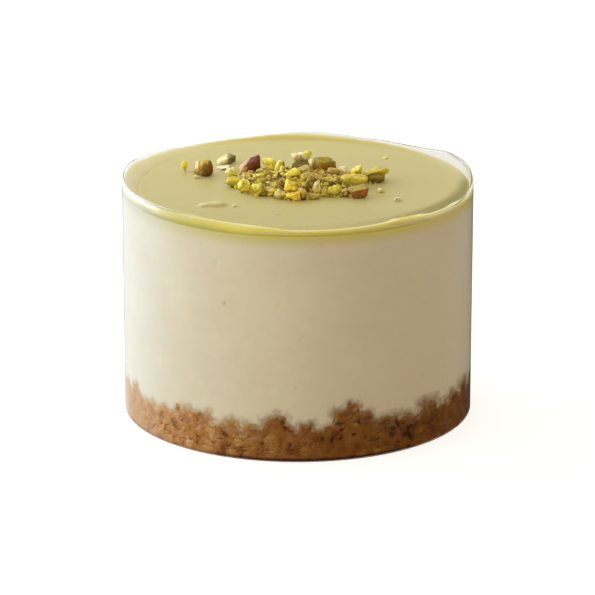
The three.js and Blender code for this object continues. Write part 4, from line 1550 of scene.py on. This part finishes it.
# The low bed that they lie on: how far it reaches at least and at most and how high it rises in
# millimetres, and how finely it is drawn
MOUND_LEAST = 8.0
MOUND_MOST = 14.0
MOUND_HEIGHT = 2.5
MOUND_COLUMNS = 160
MOUND_ROWS = 26

# A face of the bed holds crumbs where its normal points up by more than this
POINTS_UP = 0.2

# The few shapes that the crumbs have: how many, how finely drawn and from which seed
CRUMB_SHAPES = 4
CRUMB_FINENESS = 2
CRUMB_SHAPE_SEED = 41


def mound_reach(angles):
    """How far the mound reaches in each direction, in millimetres."""
    reach = np.full_like(angles, MOUND_LEAST)
    for bit in HEAP_BITS:
        distance = min(math.hypot(bit[0], bit[1]), MOUND_MOST)
        turn = angles - math.atan2(bit[1], bit[0])
        apart = np.abs(np.arctan2(np.sin(turn), np.cos(turn)))
        share = 1 - smooth_step(apart, math.radians(4), math.radians(18))
        reach = np.maximum(reach, MOUND_LEAST + (distance - MOUND_LEAST) * share)
    return reach


def mound_object():
    """The low uneven bed of fine crumbs that the larger bits lie in."""
    angles = ring_angles(MOUND_COLUMNS)[None, :]
    share = np.linspace(1.0, 0.03, MOUND_ROWS)[:, None]
    radius = mound_reach(angles) * share * MM
    x, y = radius * np.cos(angles), radius * np.sin(angles)
    rise = MOUND_HEIGHT * (1 - share**2.5) + 0.05
    rough = 0.35 * wave_noise(x * 2400, y * 2400, 0 * x, 8) + 0.2 * wave_noise(x * 5200, y * 5200, 0 * x, 9)
    height = GLAZE_LEVEL + (rise * 0.85 + rough * np.clip(3 * (1 - share), 0, 1)) * MM
    height = np.maximum(height, GLAZE_LEVEL - NUT_SINK)
    flat = np.ones((1, MOUND_COLUMNS))
    base = [flat * 0.5 * MM, radius[:1]]
    floor = [flat * (GLAZE_LEVEL - NUT_SINK)] * 2
    radii = np.concatenate(base + [radius])
    heights = np.concatenate(floor + [height])
    return round_body("crumb_bed", radii, heights)


def crumb_ground(bed, seed):
    """What the crumbs lie on: the bed, and more thinly the lower parts of the heap's bits."""
    _, ball_faces = unit_ball(BIT_FINENESS)
    points = [np.array([v.co[:] for v in bed.data.vertices])]
    faces = [list(face.vertices) for face in bed.data.polygons if face.normal.z > POINTS_UP]
    holding = [np.ones(len(points[0]))]
    count = len(points[0])
    for bit, shape, _ in shaped_bits(seed)[: len(HEAP_BITS)]:
        faces += (ball_faces + count).tolist()
        points.append(shape)
        rise = (shape[:, 2] - shape[:, 2].min()) / np.ptp(shape[:, 2])
        holding.append(0.4 * (1 - smooth_step(rise, 0.05, 0.4)))
        count += len(shape)
    return mesh_object("crumb_ground", np.concatenate(points), faces, {"holding": np.concatenate(holding)})


def crumb_shapes(collection):
    """A few angular crumbs of a few dozen faces to scatter."""
    ball, faces = unit_ball(CRUMB_FINENESS)
    draws = np.random.default_rng(CRUMB_SHAPE_SEED)
    for index in range(CRUMB_SHAPES):
        points = chopped_shape(ball, draws)[0] * draws.uniform(0.6, 1.0, 3)
        points = points / np.abs(points).max() * 0.5
        shape = mesh_object(f"crumb_shape_{index}", points, faces, smooth=False)
        for owner in list(shape.users_collection):
            owner.objects.unlink(shape)
        collection.objects.link(shape)


def crumble_tree(material):
    """Geometry nodes that spread crumbs over a surface, with named inputs for their sizes."""
    tree = bpy.data.node_groups.new("Pistachio Crumble", "GeometryNodeTree")
    tree.interface.new_socket(name="Geometry", in_out="INPUT", socket_type="NodeSocketGeometry")
    for name, kind in (
        ("Shapes", "NodeSocketCollection"),
        ("Density", "NodeSocketFloat"),
        ("Smallest", "NodeSocketFloat"),
        ("Largest", "NodeSocketFloat"),
        ("Seed", "NodeSocketInt"),
    ):
        tree.interface.new_socket(name=name, in_out="INPUT", socket_type=kind)
    tree.interface.new_socket(name="Geometry", in_out="OUTPUT", socket_type="NodeSocketGeometry")
    wiring = Wiring(tree)
    given = wiring.add("NodeGroupInput")
    result = wiring.add("NodeGroupOutput")
    holding = wiring.add("GeometryNodeInputNamedAttribute", {"data_type": "FLOAT"}, Name="holding")
    density = wiring.math("MULTIPLY", holding.outputs[0], given.outputs["Density"])
    spread = wiring.add(
        "GeometryNodeDistributePointsOnFaces",
        Mesh=given.outputs["Geometry"],
        Density=density,
        Seed=given.outputs["Seed"],
    )
    tone = wiring.add("FunctionNodeRandomValue", {"data_type": "FLOAT"}, Seed=3)
    toned = wiring.add(
        "GeometryNodeStoreNamedAttribute", {"data_type": "FLOAT", "domain": "POINT"}, Name="tone"
    )
    wiring.feed(toned.inputs["Geometry"], spread.outputs["Points"])
    wiring.feed(toned.inputs["Value"], tone.outputs[1])
    shapes = wiring.add("GeometryNodeCollectionInfo", Collection=given.outputs["Shapes"])
    shapes.inputs["Separate Children"].default_value = True
    shapes.inputs["Reset Children"].default_value = True
    turn = wiring.add("FunctionNodeRandomValue", {"data_type": "FLOAT_VECTOR"}, Seed=5)
    turn.inputs[1].default_value = (2 * math.pi,) * 3
    size = wiring.add("FunctionNodeRandomValue", {"data_type": "FLOAT"}, Seed=9)
    wiring.feed(size.inputs[2], given.outputs["Smallest"])
    wiring.feed(size.inputs[3], given.outputs["Largest"])
    placed = wiring.add("GeometryNodeInstanceOnPoints", Points=toned.outputs["Geometry"])
    wiring.feed(placed.inputs["Instance"], shapes.outputs[0])
    placed.inputs["Pick Instance"].default_value = True
    wiring.feed(placed.inputs["Rotation"], turn.outputs[0])
    wiring.feed(placed.inputs["Scale"], size.outputs[1])
    real = wiring.add("GeometryNodeRealizeInstances", Geometry=placed.outputs[0])
    worn = wiring.add("GeometryNodeSetMaterial", Geometry=real.outputs[0], Material=material)
    wiring.feed(result.inputs[0], worn.outputs[0])
    return tree


def grown_mesh(piece, tree, inputs, name):
    """The plain mesh that a tree makes from a piece."""
    modifier = piece.modifiers.new("Grow", "NODES")
    modifier.node_group = tree
    for item in tree.interface.items_tree:
        if item.in_out == "INPUT" and item.name in inputs:
            modifier[item.identifier] = inputs[item.name]
    bpy.context.view_layer.update()
    evaluated = piece.evaluated_get(bpy.context.evaluated_depsgraph_get())
    mesh = bpy.data.meshes.new_from_object(evaluated)
    mesh.name = name
    piece.modifiers.remove(modifier)
    if not mesh.polygons:
        raise RuntimeError(f"{name} came out empty")
    return mesh


def crumble_material():
    """Fine pistachio crumbs in all the colours of the nut, one tone for each crumb."""
    material, wiring, output = new_material("Nut Crumbs")
    place = object_place(wiring)
    tone = attribute(wiring, "tone")
    ramp = wiring.add("ShaderNodeValToRGB", Fac=tone)
    ramp.color_ramp.interpolation = "CONSTANT"
    stops = (
        (0.0, srgb(226, 208, 78)),
        (0.2, srgb(214, 192, 88)),
        (0.4, srgb(180, 156, 50)),
        (0.58, srgb(236, 222, 104)),
        (0.7, srgb(198, 166, 70)),
        (0.8, srgb(116, 82, 24)),
        (0.93, srgb(250, 228, 90)),
    )
    ramp.color_ramp.elements[0].color = (*stops[0][1], 1)
    ramp.color_ramp.elements[1].position = stops[1][0]
    ramp.color_ramp.elements[1].color = (*stops[1][1], 1)
    for position, colour in stops[2:]:
        ramp.color_ramp.elements.new(position).color = (*colour, 1)
    grain = mottled(wiring, place, 1200.0, 4200.0, 0.5)
    coloured = wiring.blend(
        wiring.band(grain, 0.3, 0.5, 0.5, 0.0), ramp.outputs["Color"], srgb(140, 110, 44), "MULTIPLY"
    )
    shader = wiring.add(
        "ShaderNodeBsdfPrincipled",
        Base_Color=coloured,
        Roughness=wiring.band(grain, 0.3, 0.7, 0.5, 0.8),
    )
    wiring.feed(output.inputs["Surface"], shader.outputs[0])
    return material


class CHEESECAKE_OT_crumbs(bpy.types.Operator):
    """Scatter the fine pistachio crumbs over a low bed"""

    bl_idname = "cheesecake.crumbs"
    bl_label = "Pistachio Crumbs"

    def execute(self, context):
        settings = context.scene.cheesecake.nuts
        material = crumble_material()
        bed = mound_object()
        shapes = bpy.data.collections.new("crumb_shapes")
        context.scene.collection.children.link(shapes)
        crumb_shapes(shapes)
        ground = crumb_ground(bed, settings.seed)
        area = sum(face.area for face in bed.data.polygons if face.normal.z > POINTS_UP)
        inputs = {
            "Shapes": shapes,
            "Density": settings.crumb_count / area,
            "Smallest": settings.smallest,
            "Largest": settings.largest,
            "Seed": settings.seed,
        }
        tree = crumble_tree(material)
        mesh = grown_mesh(ground, tree, inputs, "pistachio_crumbs")
        bpy.data.objects.remove(ground)
        crumbs = bpy.data.objects.new("pistachio_crumbs", mesh)
        context.scene.collection.objects.link(crumbs)
        for shape in list(shapes.objects):
            bpy.data.objects.remove(shape)
        bpy.data.collections.remove(shapes)
        wear(bed, nut_material("Nut Bed", 0.3))
        # The bed is painted a dark olive: partly the crumbs' own colour, partly painted shade in the gaps
        # between the bits
        flesh = np.tile((*srgb(138, 108, 34), 1.0), (len(bed.data.vertices), 1)).astype(np.float32)
        layer = bed.data.attributes.new("flesh", "FLOAT_COLOR", "POINT")
        layer.data.foreach_set("color", flesh.ravel())
        for piece in (bed, crumbs):
            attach(piece, BODY)
            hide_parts("pistachio_heap")
        return {"FINISHED"}


# The floor, the lights and the camera

FLOOR_REACH = 3.0

# The soft lights, and the cards that the clear plastic reflects: degrees left of the front, degrees
# up, distance, width and height in metres, and colour
LIGHTS = {
    "window_light": (124, 21, 0.5, 0.5, 0.42, (0.8, 1.0, 1.36)),
    "side_card": (70, 24, 0.5, 0.22, 0.36, (0.86, 1.0, 1.08)),
    "left_card": (132, -22, 0.5, 0.62, 0.3, (1.0, 0.99, 0.97)),
    "rim_card": (126, -3, 0.5, 0.58, 0.15, (1.0, 1.0, 1.0)),
    "back_card": (180, 32, 0.7, 0.9, 0.6, (1.0, 0.98, 0.95)),
}

# The point that the camera's distance and pitch are measured from, how far below it the camera looks
# in radians, and the width of its sensor in millimetres
CAMERA_AIM = (-0.08 * MM, 0, 24.5 * MM)
LOWER_AIM = math.radians(0.113)
SENSOR_WIDTH = 36.0


def panel_light(name, azimuth, elevation, distance, width, height, colour, brightness):
    """A soft rectangular light that faces the middle of the cup."""
    turn = math.radians(azimuth)
    rise = math.radians(elevation)
    towards = Vector((-math.sin(turn) * math.cos(rise), -math.cos(turn) * math.cos(rise), math.sin(rise)))
    light = bpy.data.lights.new(name, "AREA")
    light.shape = "RECTANGLE"
    light.size = width
    light.size_y = height
    light.energy = brightness * math.pi * width * height
    light.color = colour
    lamp = bpy.data.objects.new(name, light)
    lamp.location = Vector((0, 0, CUP_HEIGHT / 2)) + towards * distance
    lamp.rotation_euler = towards.to_track_quat("Z", "Y").to_euler()
    lamp.visible_camera = False
    bpy.context.scene.collection.objects.link(lamp)
    return lamp


def floor_material(settings):
    """A plain pale floor, seen a little paler than the light that it sends back."""
    material, wiring, output = new_material("Pale Floor")
    matt = wiring.add("ShaderNodeBsdfDiffuse", Color=tuple(settings.floor_colour))
    glow = wiring.add("ShaderNodeEmission", Color=(1.0, 1.0, 1.0))
    path = wiring.add("ShaderNodeLightPath")
    direct = wiring.math("SUBTRACT", 1.0, path.outputs["Is Diffuse Ray"])
    dimmed = wiring.math("MULTIPLY", path.outputs["Is Transmission Ray"], 0.48)
    seen = wiring.math("SUBTRACT", direct, dimmed)
    wiring.feed(glow.inputs["Strength"], wiring.math("MULTIPLY", seen, settings.floor_glow))
    both = wiring.add("ShaderNodeAddShader")
    wiring.feed(both.inputs[0], matt.outputs[0])
    wiring.feed(both.inputs[1], glow.outputs[0])
    wiring.feed(output.inputs["Surface"], both.outputs[0])
    material.cycles.emission_sampling = "NONE"
    return material


def room(settings):
    """Even soft surroundings, seen as white behind the floor."""
    world = bpy.data.worlds.new("Soft Room")
    bpy.context.scene.world = world
    world.use_nodes = True
    world.node_tree.nodes.clear()
    wiring = Wiring(world.node_tree)
    path = wiring.add("ShaderNodeLightPath")
    lighting = wiring.math("MULTIPLY", path.outputs["Is Diffuse Ray"], settings.surroundings - 1.0)
    reflected = wiring.math("MULTIPLY", path.outputs["Is Glossy Ray"], settings.room_reflected - 1.0)
    strength = wiring.math("ADD", 1.0, wiring.math("ADD", lighting, reflected))
    colour = wiring.blend(path.outputs["Is Diffuse Ray"], (1.0, 1.0, 1.0), tuple(settings.room_colour))
    background = wiring.add("ShaderNodeBackground", Color=colour, Strength=strength)
    output = wiring.add("ShaderNodeOutputWorld")
    wiring.feed(output.inputs["Surface"], background.outputs[0])


class CHEESECAKE_OT_stage(bpy.types.Operator):
    """Make the pale floor, the soft lights and the camera"""

    bl_idname = "cheesecake.stage"
    bl_label = "Stage"

    def execute(self, context):
        settings = context.scene.cheesecake.stage
        signs = ((-1, -1), (1, -1), (1, 1), (-1, 1))
        corners = [(x * FLOOR_REACH, y * FLOOR_REACH, 0) for x, y in signs]
        floor = mesh_object("pale_floor", corners, [(0, 1, 2, 3)], smooth=False)
        wear(floor, floor_material(settings))
        floor.visible_glossy = False
        room(settings)
        lamps = {}
        for name, values in LIGHTS.items():
            lamps[name] = panel_light(name, *values, getattr(settings, name))
        lamps["rim_card"].visible_transmission = False
        for name in ("left_card", "rim_card"):
            lamps[name].visible_diffuse = False
        camera_data = bpy.data.cameras.new("camera")
        camera_data.lens = settings.lens
        camera_data.sensor_width = SENSOR_WIDTH
        camera_data.clip_start = 0.05
        camera = bpy.data.objects.new("camera", camera_data)
        back = Vector((0, -math.cos(settings.pitch), math.sin(settings.pitch)))
        camera.location = Vector(CAMERA_AIM) + back * settings.distance
        camera.rotation_euler = (math.pi / 2 - settings.pitch - LOWER_AIM, 0, 0)
        context.scene.collection.objects.link(camera)
        context.scene.camera = camera
        context.scene.view_settings.view_transform = "Standard"
        return {"FINISHED"}


class CHEESECAKE_PT_panel(bpy.types.Panel):
    """Lists the steps that build the cheesecake cup"""

    bl_label = "Cheesecake Cup"
    bl_idname = "CHEESECAKE_PT_panel"
    bl_space_type = "VIEW_3D"
    bl_region_type = "UI"
    bl_category = "Cheesecake"

    def draw(self, context):
        for step in STEPS:
            self.layout.operator(step.bl_idname)


STEPS = (
    CHEESECAKE_OT_stage,
    CHEESECAKE_OT_cup,
    CHEESECAKE_OT_crumb,
    CHEESECAKE_OT_filling,
    CHEESECAKE_OT_glaze,
    CHEESECAKE_OT_bits,
    CHEESECAKE_OT_crumbs,
)
CLASSES = (
    CupSettings,
    CrumbSettings,
    FillingSettings,
    GlazeSettings,
    NutSettings,
    StageSettings,
    CheesecakeSettings,
    *STEPS,
    CHEESECAKE_PT_panel,
)


def register():
    """Makes the settings, the operators and the panel known to Blender."""
    for made in CLASSES:
        bpy.utils.register_class(made)
    bpy.types.Scene.cheesecake = PointerProperty(type=CheesecakeSettings)


def unregister():
    """Takes them away again."""
    del bpy.types.Scene.cheesecake
    for made in reversed(CLASSES):
        bpy.utils.unregister_class(made)


def main():
    """Builds the stage and every piece."""
    register()
    bpy.ops.cheesecake.stage()
    bpy.ops.cheesecake.cup()
    bpy.ops.cheesecake.crumb()
    bpy.ops.cheesecake.filling()
    bpy.ops.cheesecake.glaze()
    bpy.ops.cheesecake.bits()
    bpy.ops.cheesecake.crumbs()


if __name__ == "__main__":
    main()
